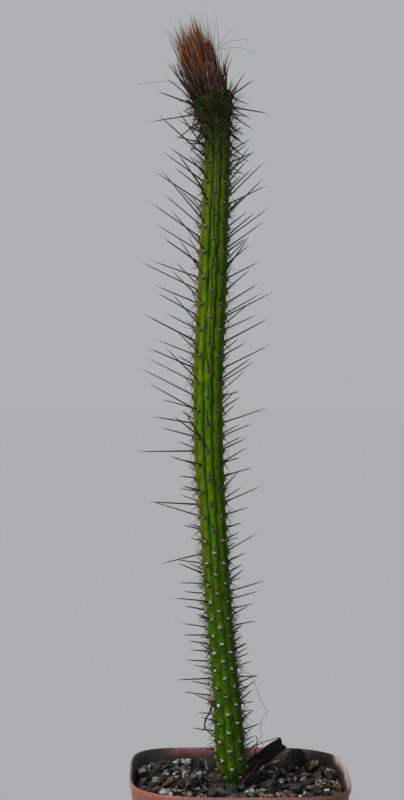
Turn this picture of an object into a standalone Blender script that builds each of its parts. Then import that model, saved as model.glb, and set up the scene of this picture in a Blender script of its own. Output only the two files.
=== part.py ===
"""A slender ribbed cactus with a bristly crown, standing in grit in a rounded-square plastic pot.

Metres, +Z up. The origin is the centre of the pot's underside, and the pot's flats face X and Y.
The plant leans in the XZ plane, and one of its ribs faces -Y.
"""

import math
import random

import bmesh
import bpy
from mathutils import Matrix, Vector

# Gap kept between pieces that touch
FIT_GAP = 0.0003

# Pot: a moulded shell. Half widths are measured across the flats, on the outside.
POT_SEGMENTS = 48
POT_SQUARENESS = 4.2
POT_WARP = 0.9
POT_FRONT_NARROWS = 0.018
POT_WALL = 0.0009
POT_HEIGHT = 0.085
POT_BASE_HALF = 0.0318
POT_RIM_HALF = 0.0435
LIP_HEIGHT = 0.0022
LIP_STANDS_OUT = 0.0002
BASE_ROUND_IN = 0.0018
BASE_ROUND_UP = 0.0016
DRAIN_RADIUS = 0.0036
DRAIN_OFFSET = 0.0165

# Grit: the mix fills the pot to a few millimetres below the rim
GRIT_TOP = 0.0800
GRIT_FLOOR = POT_WALL + FIT_GAP
GRIT_SIDE_GAP = 0.0005
STONE_COUNT = 110
STONE_RADIUS = (0.0030, 0.0046)
STONE_SPACING = 0.0064
STONE_SUNK = 0.0008
STONE_REACH = 1.3
STONE_LONG = (0.8, 1.3)
STONE_WIDE = (0.75, 1.05)
STONE_FLAT = (0.6, 0.85)
STONE_TIP = 0.4
STONE_TRIES = 6000

# The plain hole in the grit where the stem stands, at the surface, and heights where it still hugs the stem
HOLE_RADIUS = 0.0050
HOLE_HEIGHTS = (0.0842, 0.0890)

# Stem: height and sideways place of its centre line, then height and radius at the rib crests
RIBS = 10
STEM_DEPTH = -0.0010
STEM_LINE = (
    (0.0580, -0.0019),
    (0.0780, -0.0024),
    (0.0860, -0.0026),
    (0.0930, -0.0034),
    (0.0980, -0.0038),
    (0.1120, -0.0046),
    (0.1350, -0.0067),
    (0.1650, -0.0091),
    (0.1850, -0.0103),
    (0.2090, -0.0119),
    (0.2330, -0.0123),
    (0.2480, -0.0121),
    (0.2720, -0.0109),
    (0.3080, -0.0095),
    (0.3260, -0.0087),
    (0.3380, -0.0086),
    (0.3470, -0.0096),
    (0.3560, -0.0110),
)
STEM_RADIUS = (
    (0.0790, 0.0022),
    (0.0808, 0.0028),
    (0.0834, 0.0047),
    (0.0860, 0.0058),
    (0.0890, 0.0060),
    (0.0980, 0.0060),
    (0.1120, 0.0057),
    (0.1350, 0.0053),
    (0.1550, 0.0054),
    (0.1850, 0.0055),
    (0.2090, 0.0060),
    (0.2480, 0.0061),
    (0.2900, 0.0059),
    (0.3300, 0.0053),
    (0.3400, 0.0056),
    (0.3460, 0.0068),
    (0.3515, 0.0083),
)
FOOT_RINGS = ((0.0585, 0.0014), (0.0620, 0.0018), (0.0770, 0.0020), (0.0790, 0.0022), (0.0808, 0.0028))
HEAD_RINGS = ((0.3543, 0.0081), (0.3555, 0.0069))
HEAD_FOOT = 0.3350
HEAD_TOP = 0.3555
HEAD_TILT = math.radians(15)
GROOVE_DEPTH = 0.0011
AREOLE_BUMP = 0.0004
CREST_DIP = 0.0002

# Areoles sit in rows half a pitch apart, on odd and even ribs in turn. Height and pitch along one rib.
LOWEST_AREOLE = 0.0834
HIGHEST_AREOLE = 0.3545
AREOLE_PITCH = (
    (0.0834, 0.0072),
    (0.1180, 0.0071),
    (0.1260, 0.0067),
    (0.1520, 0.0069),
    (0.1620, 0.0080),
    (0.1750, 0.0094),
    (0.1950, 0.0105),
    (0.2350, 0.0108),
    (0.2650, 0.0102),
    (0.2920, 0.0103),
    (0.3050, 0.0092),
    (0.3200, 0.0080),
    (0.3350, 0.0076),
    (0.3500, 0.0056),
)

# Central spines: height along the stem, rise above level in degrees, and length
SPINE_RISE = (
    (0.084, 26),
    (0.120, 14),
    (0.160, 15),
    (0.200, 15),
    (0.240, 30),
    (0.320, 39),
    (0.338, 22),
    (0.352, 34),
)
SPINE_LENGTH = (
    (0.084, 0.0075),
    (0.110, 0.0090),
    (0.150, 0.0100),
    (0.190, 0.0130),
    (0.230, 0.0195),
    (0.310, 0.0225),
    (0.335, 0.0130),
    (0.352, 0.0140),
)
SPINE_RADIUS = 0.00036
SPINE_SWING = 24
SPINE_WOBBLE = 9

# The spines of the rib that faces the front swing sideways by only this share, and lie nearly straight up it
FRONT_SWING_SHARE = 0.2
SPINE_VARIES = (0.55, 1.10)

# Central spines that shape the outline seen from the front, in mm: height of the areole, then how far the
# spine goes sideways, to the left below zero, and up. Even rows and odd rows have them on different ribs.
LEFT_RIBS = (7, 8)
RIGHT_RIBS = (3, 2)
OUTLINE_SPINES = (
    (94, -4.5, 1), (101, -9.5, 2.5), (108.5, -7, 1), (115.5, -12.5, 2.5), (119, -9, 1.5), (123, -14.5, 0.5),
    (129.5, -10, 1), (136, -8.5, 2), (139.5, -10.5, -0.5), (143, -10.5, 2.5), (146, -5, 1.5), (153, -13, 1),
    (156.5, -8.5, 1), (160, -10.5, 0), (164, -10.5, 5), (172.5, -16.5, -3.5), (177, -4.5, 1), (182, -7, 2),
    (187, -20, 6), (192, -19.5, 1.5), (197, -7.5, 1), (202.5, -7, 1), (208, -10.5, 3), (213, -22.5, 0),
    (218.5, -13.5, 4), (224, -16.5, 3), (229.5, -19, 11), (234.5, -21.5, 11.5), (240, -18.5, 10),
    (245.5, -18.5, 8.5), (251, -15, 6.5), (256, -20.5, 11), (261, -12, 6.5), (266.5, -16, 9.5),
    (271.5, -17.5, 8), (276.5, -23.5, 11.5), (281.5, -19, 8), (287, -14.5, 11), (292, -18, 12.5),
    (297, -20.5, 14.5), (302, -15.5, 14.5), (307, -9, 10.5), (311.5, -19.5, 14), (332, -11.5, 17),
    (343, -5, -10), (346.5, -9.5, -9), (349.5, -19, -2), (352.5, -14.5, 5),
    (98, 4, 4), (101.5, 7, 3.5), (105, 5, 4), (112, 5, 4.5), (115.5, 6.5, 6), (123, 8.5, 0.5), (133, 5, 2.5),
    (136, 3.5, 3), (146, 6.5, 4), (149.5, 9, 2.5), (153, 11.5, 3), (156.5, 14, 5), (160, 6, 5),
    (164, 5.5, 3.5), (172.5, 12, 8), (177, 5, 3), (182, 6.5, 2.5), (192, 14.5, 7), (197, 6, 7),
    (202.5, 11.5, 4), (208, 10, 6.5), (213, 9.5, 5), (218.5, 12.5, 5.5), (224, 17.5, 6), (229.5, 7.5, 5.5),
    (234.5, 7, 2), (240, 13.5, 9), (245.5, 19, 10), (251, 9.5, 6), (256, 18, 10), (261, 13.5, 7),
    (266.5, 19, 10), (271.5, 13.5, 9), (276.5, 9.5, 9), (281.5, 14, 8), (287, 9, 8.5), (292, 7.5, 6.5),
    (297, 16.5, 12.5), (302, 8, 7), (307, 14, 14.5), (311.5, 16, 9), (316, 9, 9.5), (320, 7, 10),
    (336, 6, -5), (339.5, 6, -5.5), (343, 5.5, -4.5), (346.5, 9, -7.5), (349.5, 15, -2), (352.5, 8.5, 6),
)

# Central spines that cross the stem as seen from the front: height of the areole in mm, its rib, the turn of
# the spine from the rib in degrees, and how far it goes sideways and up in mm
FRONT_SPINES = (
    (133, 9, -24, -6.5, 5),
    (213, 0, -40, -10, 17),
    (229.5, 9, -24, -15, 4.5),
    (240, 9, -24, -13.5, 14),
    (251, 9, -24, -9, 9),
    (261, 9, -24, -12, 14),
    (271.5, 9, -24, -13, 13.5),
    (281.5, 9, -24, -10, 15),
    (292, 9, -24, -13.5, 16),
    (302, 9, -24, -18.5, 22),
    (328, 9, -24, -20.5, 17),
)
RADIAL_LENGTH = (0.0030, 0.0055)
RADIAL_RADIUS = 0.00026
RADIAL_SPREAD = (38, 66)
RADIAL_RISE = (-8, 34)
ROOT_SUNK = 0.0011

# A spine that would reach the bark is turned up and shortened step by step until it is clear
CLEAR_ROOM = 0.0012
CLEAR_TURN = 8
CLEAR_SHORTEN = 0.93

# Crown: its axis leans to -X more than the stem's tip does
CROWN_LEAN = math.radians(15)
CROWN_CORE = ((0.0, 0.0062), (0.0030, 0.0060), (0.0090, 0.0052), (0.0170, 0.0034), (0.0230, 0.0012))
CROWN_SIDES = 12
BRISTLE_COUNT = 176
BRISTLE_LENGTH = (0.0220, 0.0310)
BRISTLE_RADIUS = 0.00042
BRISTLE_SPLAY = 8
BRISTLE_WOBBLE = 4
BRISTLE_SWING = 20
BRISTLE_ROOT_DISC = 0.0059
BRISTLE_ROOT_HEIGHTS = (0.0010, 0.0070)
OUTER_SHORTER = 0.22

# Looser and shorter bristles that stand off round the crown's foot
RUFF_COUNT = 34
RUFF_LENGTH = (0.0100, 0.0180)
RUFF_SPLAY = (16, 40)
RUFF_ROOT_HEIGHT = 0.0012

# Bark slab: the middle of its low end and of its high end, and its half width and half thickness
BARK_LOW = Vector((-0.0002, 0.0110, 0.0806))
BARK_HIGH = Vector((0.0188, 0.0120, 0.0940))
BARK_HALF_WIDTH = 0.0029
BARK_HALF_THICKNESS = 0.0014
BARK_NOTCH = 0.0012
BARK_WIDENS = 0.12
BARK_ROUGH = (0.88, 1.05)

# Dark chunk at the back right
CHUNK_PLACE = Vector((0.0250, 0.0325, 0.0790))
CHUNK_HALF = Vector((0.0052, 0.0040, 0.0078))
CHUNK_ROUGH = (0.82, 1.06)

GOLDEN_ANGLE = math.pi * (3 - math.sqrt(5))


def clear_scene():
    for item in list(bpy.data.objects):
        bpy.data.objects.remove(item)
    for group in list(bpy.data.collections):
        bpy.data.collections.remove(group)


def new_collection(name):
    group = bpy.data.collections.new(name)
    bpy.context.scene.collection.children.link(group)
    return group


def material(name, hex_colour, roughness):
    """A Principled material from an sRGB colour."""
    made = bpy.data.materials.new(name)
    made.use_nodes = True
    shader = made.node_tree.nodes["Principled BSDF"]
    channels = [int(hex_colour[i : i + 2], 16) / 255 for i in (0, 2, 4)]
    linear = [c / 12.92 if c <= 0.04045 else ((c + 0.055) / 1.055) ** 2.4 for c in channels]
    shader.inputs["Base Color"].default_value = (*linear, 1)
    shader.inputs["Roughness"].default_value = roughness
    shader.inputs["Metallic"].default_value = 0
    return made


def along(table, at):
    """The smooth curve through a table of (place, value) pairs, read at one place."""
    if at <= table[0][0]:
        return table[0][1]
    if at >= table[-1][0]:
        return table[-1][1]
    i = next(n for n in range(len(table) - 1) if at <= table[n + 1][0])
    (x0, y0), (x1, y1) = table[i], table[i + 1]
    before = table[max(i - 1, 0)]
    after = table[min(i + 2, len(table) - 1)]
    slope0 = (y1 - before[1]) / (x1 - before[0])
    slope1 = (after[1] - y0) / (after[0] - x0)
    span = x1 - x0
    t = (at - x0) / span
    return (
        y0 * (1 + 2 * t) * (1 - t) ** 2
        + slope0 * span * t * (1 - t) ** 2
        + y1 * t * t * (3 - 2 * t)
        + slope1 * span * t * t * (t - 1)
    )


def squareness(angle):
    """The pot is a little squeezed along one diagonal, so two of its corners are rounder."""
    return POT_SQUARENESS - POT_WARP * math.sin(2 * angle)


def squircle(angle):
    """A point on a rounded square of half width 1."""
    c, s = math.cos(angle), math.sin(angle)
    power = squareness(angle)
    reach = (abs(c) ** power + abs(s) ** power) ** (-1 / power)
    return c * reach * (1 + POT_FRONT_NARROWS * s * reach), s * reach


def lofted(name, segments, rings, point_of, open_top=False):
    """A mesh of stacked rings on a filled first ring. point_of(ring, angle) places each vertex."""
    bm = bmesh.new()
    bmesh.ops.create_circle(bm, cap_ends=True, segments=segments, radius=1)
    edges = bm.edges[:]
    for _ in range(rings - 1):
        made = bmesh.ops.extrude_edge_only(bm, edges=edges)["geom"]
        edges = [item for item in made if isinstance(item, bmesh.types.BMEdge)]
        corners = [item for item in made if isinstance(item, bmesh.types.BMVert)]
        edges = [edge for edge in edges if all(end in corners for end in edge.verts)]
        bmesh.ops.translate(bm, verts=corners, vec=(0, 0, 1))
    if not open_top:
        bmesh.ops.holes_fill(bm, edges=edges, sides=0)
    for vert in bm.verts:
        vert.co = point_of(round(vert.co.z), math.atan2(vert.co.y, vert.co.x))
    bmesh.ops.recalc_face_normals(bm, faces=bm.faces)
    lowest = min(bm.faces, key=lambda face: face.calc_center_median().z)
    if lowest.normal.z > 0:
        bmesh.ops.reverse_faces(bm, faces=bm.faces)
    mesh = bpy.data.meshes.new(name)
    bm.to_mesh(mesh)
    bm.free()
    return mesh


def add_object(name, mesh, group, finish=None):
    made = bpy.data.objects.new(name, mesh)
    group.objects.link(made)
    if finish:
        mesh.materials.clear()
        mesh.materials.append(finish)
    return made


def add_cutter(name, mesh, group):
    made = add_object(name, mesh, group)
    made.hide_render = True
    made.display_type = "WIRE"
    return made


def cut(target, cutter):
    made = target.modifiers.new("cut " + cutter.name, "BOOLEAN")
    made.operation = "DIFFERENCE"
    made.object = cutter


def fuse(target, group):
    """Joins every object of the group to the target, then removes the group."""
    made = target.modifiers.new("fuse", "BOOLEAN")
    made.operation = "UNION"
    made.operand_type = "COLLECTION"
    made.collection = group
    made.solver = "MANIFOLD"
    bpy.context.view_layer.update()
    bpy.context.view_layer.objects.active = target
    bpy.ops.object.modifier_apply(modifier=made.name)
    for item in list(group.objects):
        bpy.data.objects.remove(item)
    bpy.data.collections.remove(group)


def smooth_shaded(item, angle):
    item.data.shade_smooth()
    item.data.set_sharp_from_angle(angle=math.radians(angle))


def needle_mesh(name):
    """A three-sided needle of unit length and unit root radius, its root at the origin."""
    bm = bmesh.new()
    bmesh.ops.create_cone(bm, cap_ends=True, segments=3, radius1=1, radius2=0, depth=1)
    bmesh.ops.translate(bm, verts=bm.verts, vec=(0, 0, 0.5))
    mesh = bpy.data.meshes.new(name)
    bm.to_mesh(mesh)
    bm.free()
    return mesh


def place_needle(mesh, group, root, aim, length, radius):
    made = bpy.data.objects.new("needle", mesh)
    turn = aim.to_track_quat("Z", "Y").to_matrix().to_4x4()
    made.matrix_world = Matrix.Translation(root) @ turn @ Matrix.Diagonal((radius, radius, length, 1))
    group.objects.link(made)


def distance_to_segment(point, start, end):
    line = end - start
    share = max(0.0, min(1.0, (point - start).dot(line) / line.length_squared))
    return (point - start - line * share).length


def pot_half_width(height):
    """Half the pot's outer width on its straight tapering side."""
    return POT_BASE_HALF + (POT_RIM_HALF - POT_BASE_HALF) * height / POT_HEIGHT


def make_pot(parts, cutters):
    lip_foot = POT_HEIGHT - LIP_HEIGHT
    lip_half = pot_half_width(POT_HEIGHT) + LIP_STANDS_OUT
    profile = (
        (0.0, POT_BASE_HALF - BASE_ROUND_IN),
        (BASE_ROUND_UP, pot_half_width(BASE_ROUND_UP)),
        (0.030, pot_half_width(0.030)),
        (0.058, pot_half_width(0.058)),
        (lip_foot - 0.0006, pot_half_width(lip_foot)),
        (lip_foot, lip_half),
        (POT_HEIGHT - 0.0004, lip_half),
        (POT_HEIGHT, lip_half - 0.0003),
    )

    def wall_point(ring, angle):
        height, half = profile[ring]
        x, y = squircle(angle)
        return Vector((x * half, y * half, height))

    mesh = lofted("pot", POT_SEGMENTS, len(profile), wall_point, open_top=True)
    pot = add_object("pot", mesh, parts, material("terracotta coloured plastic", "A2665D", 0.55))
    wall = pot.modifiers.new("wall", "SOLIDIFY")
    wall.thickness = POT_WALL
    wall.offset = -1
    wall.use_even_offset = True
    for x in (-DRAIN_OFFSET, DRAIN_OFFSET):
        for y in (-DRAIN_OFFSET, DRAIN_OFFSET):
            bm = bmesh.new()
            bmesh.ops.create_cone(
                bm, cap_ends=True, segments=16, radius1=DRAIN_RADIUS, radius2=DRAIN_RADIUS, depth=0.006
            )
            hole = bpy.data.meshes.new("drain_hole")
            bm.to_mesh(hole)
            bm.free()
            cutter = add_cutter("drain_hole", hole, cutters)
            cutter.location = (x, y, 0)
            cut(pot, cutter)
    smooth_shaded(pot, 35)


def stem_centre(height):
    return Vector((along(STEM_LINE, height), STEM_DEPTH, height))


def stem_tilt(height):
    """The turn that sets a level ring square to the stem's centre line, and to the head's own tilt at its top."""
    step = 0.002
    lean = along(STEM_LINE, height + step) - along(STEM_LINE, height - step)
    angle = -math.atan2(lean, 2 * step)
    share = max(0.0, min(1.0, (height - HEAD_FOOT) / (HEAD_TOP - HEAD_FOOT)))
    angle = angle * (1 - share) + HEAD_TILT * share
    return Matrix.Rotation(-angle, 3, "Y")


def areole_rows():
    """Heights of the rows, half a pitch apart, from the lowest areole up."""
    rows = [LOWEST_AREOLE]
    while rows[-1] < HIGHEST_AREOLE:
        rows.append(rows[-1] + along(AREOLE_PITCH, rows[-1]) / 2)
    return rows[:-1]


def rib_angle(rib):
    return math.radians(-90) + rib * math.tau / RIBS


def stem_mesh(rows):
    """The ribbed column: a crest and a groove for each rib, bumped out at its areoles."""
    feet = len(FOOT_RINGS)

    def skin_point(ring, angle):
        if ring < feet:
            height, radius = FOOT_RINGS[ring]
        elif ring < feet + len(rows):
            height = rows[ring - feet]
            radius = along(STEM_RADIUS, height)
            column = round((angle - rib_angle(0)) / (math.pi / RIBS)) % (2 * RIBS)
            if column % 2:
                radius -= GROOVE_DEPTH
            elif (column // 2) % 2 != (ring - feet) % 2:
                radius += AREOLE_BUMP
            else:
                radius -= CREST_DIP
        else:
            height, radius = HEAD_RINGS[ring - feet - len(rows)]
        across = Vector((math.cos(angle) * radius, math.sin(angle) * radius, 0))
        return stem_centre(height) + stem_tilt(height) @ across

    return lofted("stem", 2 * RIBS, feet + len(rows) + len(HEAD_RINGS), skin_point)


def aim_from(outward, up, rise, swing):
    """A direction that leaves the stem outward, turned sideways by swing and upward by rise, in degrees."""
    side = up.cross(outward)
    level = outward * math.cos(math.radians(swing)) + side * math.sin(math.radians(swing))
    return (level * math.cos(math.radians(rise)) + up * math.sin(math.radians(rise))).normalized()


def clear_of_bark(root, tip):
    middle = (root + tip) / 2
    room = BARK_HALF_WIDTH + CLEAR_ROOM
    return all(distance_to_segment(point, BARK_LOW, BARK_HIGH) > room for point in (root, middle, tip))


def noted_reaches(rows):
    """How far each noted spine goes from its areole, by row and rib. Its heading gives its share of depth."""
    noted = []
    for height, sideways, up in OUTLINE_SPINES:
        noted.append((height, LEFT_RIBS if sideways < 0 else RIGHT_RIBS, 0, sideways, up))
    for height, rib, turn, sideways, up in FRONT_SPINES:
        noted.append((height, (rib, rib), turn, sideways, up))
    reaches = {}
    for height, ribs, turn, sideways, up in noted:
        row = min(range(len(rows)), key=lambda i: abs(rows[i] * 1000 - height))
        rib = ribs[row % 2]
        depth = sideways * math.tan(rib_angle(rib) + math.radians(turn))
        reaches[row, rib] = Vector((sideways, depth, up)) / 1000
    return reaches


def make_stem(parts):
    rows = areole_rows()
    stem = add_object("stem", stem_mesh(rows), parts, material("green cactus skin", "46631C", 0.5))
    needles = new_collection("stem needles")
    needle = needle_mesh("spine")
    reaches = noted_reaches(rows)
    draw = random.Random(11)
    for row, height in enumerate(rows):
        up = stem_tilt(height) @ Vector((0, 0, 1))
        for rib in range(1 - row % 2, RIBS, 2):
            angle = rib_angle(rib)
            outward = stem_tilt(height) @ Vector((math.cos(angle), math.sin(angle), 0))
            crest = stem_centre(height) + outward * along(STEM_RADIUS, height)
            root = crest - outward * ROOT_SUNK
            rise = along(SPINE_RISE, height) + draw.uniform(-SPINE_WOBBLE, SPINE_WOBBLE)
            swing = draw.uniform(-SPINE_SWING, SPINE_SWING) * (FRONT_SWING_SHARE if rib == 0 else 1)
            length = along(SPINE_LENGTH, height) * draw.uniform(*SPINE_VARIES) + ROOT_SUNK
            aim = aim_from(outward, up, rise, swing)
            if (row, rib) in reaches:
                aim = (crest + reaches[row, rib] - root).normalized()
                length = (crest + reaches[row, rib] - root).length
            while not clear_of_bark(root, root + aim * length):
                rise += CLEAR_TURN
                length *= CLEAR_SHORTEN
                aim = aim_from(outward, up, rise, swing)
            place_needle(needle, needles, root, aim, length, SPINE_RADIUS)
            side = draw.choice((-1, 1))
            spread = side * draw.uniform(*RADIAL_SPREAD)
            aim = aim_from(outward, up, draw.uniform(*RADIAL_RISE), spread)
            length = draw.uniform(*RADIAL_LENGTH) + ROOT_SUNK
            if clear_of_bark(root, root + aim * length):
                place_needle(needle, needles, root, aim, length, RADIAL_RADIUS)
    fuse(stem, needles)
    smooth_shaded(stem, 50)


def make_crown(parts):
    """The bristle brush: a slim core, and bristles that stand out of it all round."""
    lean = Matrix.Rotation(-CROWN_LEAN, 3, "Y")
    seat = stem_centre(HEAD_TOP) + Matrix.Rotation(-HEAD_TILT, 3, "Y") @ Vector((0, 0, FIT_GAP))

    def core_point(ring, angle):
        height, radius = CROWN_CORE[ring]
        turn = Matrix.Rotation(-HEAD_TILT, 3, "Y") if ring == 0 else lean
        return seat + turn @ Vector((math.cos(angle) * radius, math.sin(angle) * radius, height))

    mesh = lofted("cephalium", CROWN_SIDES, len(CROWN_CORE), core_point)
    crown = add_object("cephalium", mesh, parts, material("rust brown bristle", "5A3A28", 0.7))
    bristles = new_collection("crown bristles")
    needle = needle_mesh("bristle")
    draw = random.Random(5)
    for i in range(BRISTLE_COUNT):
        share = math.sqrt((i + 0.5) / BRISTLE_COUNT)
        angle = i * GOLDEN_ANGLE
        outward = Vector((math.cos(angle), math.sin(angle), 0))
        low, high = BRISTLE_ROOT_HEIGHTS
        root_height = high + (low - high) * share
        root = seat + lean @ (outward * share * BRISTLE_ROOT_DISC + Vector((0, 0, root_height)))
        splay = share * BRISTLE_SPLAY + draw.uniform(-BRISTLE_WOBBLE, BRISTLE_WOBBLE)
        swing = draw.uniform(-BRISTLE_SWING, BRISTLE_SWING)
        aim = lean @ aim_from(outward, Vector((0, 0, 1)), 90 - splay, swing)
        length = draw.uniform(*BRISTLE_LENGTH) * (1 - OUTER_SHORTER * share * share)
        place_needle(needle, bristles, root, aim, length, BRISTLE_RADIUS)
    for i in range(RUFF_COUNT):
        outward = Vector((math.cos(i * GOLDEN_ANGLE), math.sin(i * GOLDEN_ANGLE), 0))
        root = seat + lean @ (outward * BRISTLE_ROOT_DISC + Vector((0, 0, RUFF_ROOT_HEIGHT)))
        aim = lean @ aim_from(outward, Vector((0, 0, 1)), 90 - draw.uniform(*RUFF_SPLAY), 0)
        place_needle(needle, bristles, root, aim, draw.uniform(*RUFF_LENGTH), BRISTLE_RADIUS)
    fuse(crown, bristles)
    smooth_shaded(crown, 50)


def bark_mesh(name, grow):
    """A rough strip, wider in the middle and split at its high end. grow makes the socket's cutter."""
    bm = bmesh.new()
    bmesh.ops.create_cube(bm, size=2)
    long_edges = [edge for edge in bm.edges if abs(edge.verts[0].co.x - edge.verts[1].co.x) > 1]
    bmesh.ops.subdivide_edges(bm, edges=long_edges, cuts=6)
    wide_edges = [edge for edge in bm.edges if abs(edge.verts[0].co.y - edge.verts[1].co.y) > 1]
    bmesh.ops.subdivide_edges(bm, edges=wide_edges, cuts=1)
    length = (BARK_HIGH - BARK_LOW).length
    draw = random.Random(21)
    for vert in bm.verts:
        run, across, through = vert.co
        notch = BARK_NOTCH if run > 0.9 and abs(across) < 0.5 and grow == 0 else 0.0
        width = BARK_HALF_WIDTH * (1 + BARK_WIDENS * (run - 1) / 2) * draw.uniform(*BARK_ROUGH)
        thickness = BARK_HALF_THICKNESS * draw.uniform(*BARK_ROUGH)
        if grow:
            width, thickness = BARK_HALF_WIDTH * BARK_ROUGH[1], BARK_HALF_THICKNESS * BARK_ROUGH[1]
        vert.co = Vector((
            run * (length / 2 + grow) - notch,
            across * (width + grow),
            through * (thickness + grow),
        ))
    run_axis = (BARK_HIGH - BARK_LOW).normalized()
    through_axis = Vector((0, -1, 0))
    through_axis = (through_axis - run_axis * through_axis.dot(run_axis)).normalized()
    across_axis = through_axis.cross(run_axis)
    turn = Matrix((run_axis, across_axis, through_axis)).transposed().to_4x4()
    bmesh.ops.transform(bm, matrix=Matrix.Translation((BARK_LOW + BARK_HIGH) / 2) @ turn, verts=bm.verts)
    bmesh.ops.recalc_face_normals(bm, faces=bm.faces)
    mesh = bpy.data.meshes.new(name)
    bm.to_mesh(mesh)
    bm.free()
    return mesh


def chunk_mesh(name, grow):
    """A rough lump. grow makes the socket's cutter."""
    bm = bmesh.new()
    bmesh.ops.create_icosphere(bm, subdivisions=2, radius=1)
    draw = random.Random(8)
    for vert in bm.verts:
        rough = CHUNK_ROUGH[1] if grow else draw.uniform(*CHUNK_ROUGH)
        vert.co = CHUNK_PLACE + Vector(
            tuple(c * (half * rough + grow) for c, half in zip(vert.co, CHUNK_HALF))
        )
    mesh = bpy.data.meshes.new(name)
    bm.to_mesh(mesh)
    bm.free()
    return mesh


def make_bark_and_chunk(parts, cutters):
    dark_bark = material("dark bark", "17150F", 0.85)
    bark = add_object("bark_slab", bark_mesh("bark_slab", 0), parts, dark_bark)
    black_slag = material("black slag", "1B1B1C", 0.8)
    chunk = add_object("dark_chunk", chunk_mesh("dark_chunk", 0), parts, black_slag)
    smooth_shaded(bark, 25)
    smooth_shaded(chunk, 25)
    return (
        add_cutter("bark_socket", bark_mesh("bark_socket", FIT_GAP), cutters),
        add_cutter("chunk_socket", chunk_mesh("chunk_socket", FIT_GAP), cutters),
    )


def stone_places(draw):
    """Places for the stones on the grit, spread evenly and clear of the stem, the bark and the chunk."""
    inner = pot_half_width(GRIT_TOP) - POT_WALL - GRIT_SIDE_GAP
    foot = stem_centre(GRIT_TOP)
    placed = []
    for _ in range(STONE_TRIES):
        if len(placed) == STONE_COUNT:
            break
        x, y = draw.uniform(-inner, inner), draw.uniform(-inner, inner)
        radius = draw.uniform(*STONE_RADIUS)
        room = inner - radius * STONE_REACH
        place = Vector((x, y, GRIT_TOP - STONE_SUNK))
        power = squareness(math.atan2(y, x))
        if (abs(x) / room) ** power + (abs(y) / room) ** power > 1:
            continue
        if (place - foot).length < HOLE_RADIUS + radius:
            continue
        if distance_to_segment(place, BARK_LOW, BARK_HIGH) < BARK_HALF_WIDTH + radius * STONE_REACH:
            continue
        if (place - CHUNK_PLACE).xy.length < CHUNK_HALF.x + radius * STONE_REACH:
            continue
        if all((place - other).length > STONE_SPACING for other, _ in placed):
            placed.append((place, radius))
    return placed


def make_grit(parts, cutters, sockets):
    levels = (GRIT_FLOOR, GRIT_FLOOR + BASE_ROUND_UP, 0.0300, 0.0580, GRIT_TOP)

    def side_point(ring, angle):
        height = levels[ring]
        half = pot_half_width(height) - POT_WALL - GRIT_SIDE_GAP
        if ring == 0:
            half -= BASE_ROUND_IN
        x, y = squircle(angle)
        return Vector((x * half, y * half, height))

    mesh = lofted("grit", POT_SEGMENTS, len(levels), side_point)
    grit = add_object("grit", mesh, parts, material("mixed mineral grit", "5B564C", 0.9))
    stones = new_collection("stones")
    draw = random.Random(3)
    for place, radius in stone_places(draw):
        bm = bmesh.new()
        bmesh.ops.create_icosphere(bm, subdivisions=1, radius=radius)
        shape = Matrix.Diagonal([draw.uniform(*span) for span in (STONE_LONG, STONE_WIDE, STONE_FLAT)] + [1])
        turn = Matrix.Rotation(draw.uniform(0, math.tau), 4, "Z")
        turn @= Matrix.Rotation(draw.uniform(-STONE_TIP, STONE_TIP), 4, "X")
        bmesh.ops.transform(bm, matrix=Matrix.Translation(place) @ turn @ shape, verts=bm.verts)
        stone = bpy.data.meshes.new("stone")
        bm.to_mesh(stone)
        bm.free()
        stones.objects.link(bpy.data.objects.new("stone", stone))
    fuse(grit, stones)

    hole_rings = FOOT_RINGS + tuple((height, along(STEM_RADIUS, height)) for height in HOLE_HEIGHTS)

    def hole_point(ring, angle):
        height, radius = hole_rings[ring]
        if ring == 0:
            height -= FIT_GAP
        radius += 2 * FIT_GAP + AREOLE_BUMP
        return stem_centre(height) + Vector((math.cos(angle) * radius, math.sin(angle) * radius, 0))

    hole = add_cutter("stem_hole", lofted("stem_hole", 2 * RIBS, len(hole_rings), hole_point), cutters)
    for cutter in (hole, *sockets):
        cut(grit, cutter)
    smooth_shaded(grit, 25)


def main():
    clear_scene()
    parts = new_collection("potted arrojadoa")
    cutters = new_collection("cutters")
    make_pot(parts, cutters)
    sockets = make_bark_and_chunk(parts, cutters)
    make_grit(parts, cutters, sockets)
    make_stem(parts)
    make_crown(parts)


main()
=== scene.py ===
"""Looks of a potted columnar cactus: pot, grit, ribbed stem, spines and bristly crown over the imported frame.

Metres, +Z up, in the frame of the CAD model, whose nodes the pieces here stand for.
The plant leans in the XZ plane, and one of its ten ribs faces -Y, towards the camera.
"""

import math
import random
from bisect import bisect_right
from collections import namedtuple
from functools import partial

import bmesh
import bpy
from bpy.props import FloatProperty, FloatVectorProperty, IntProperty, PointerProperty
from mathutils import Matrix, Vector, noise


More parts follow.
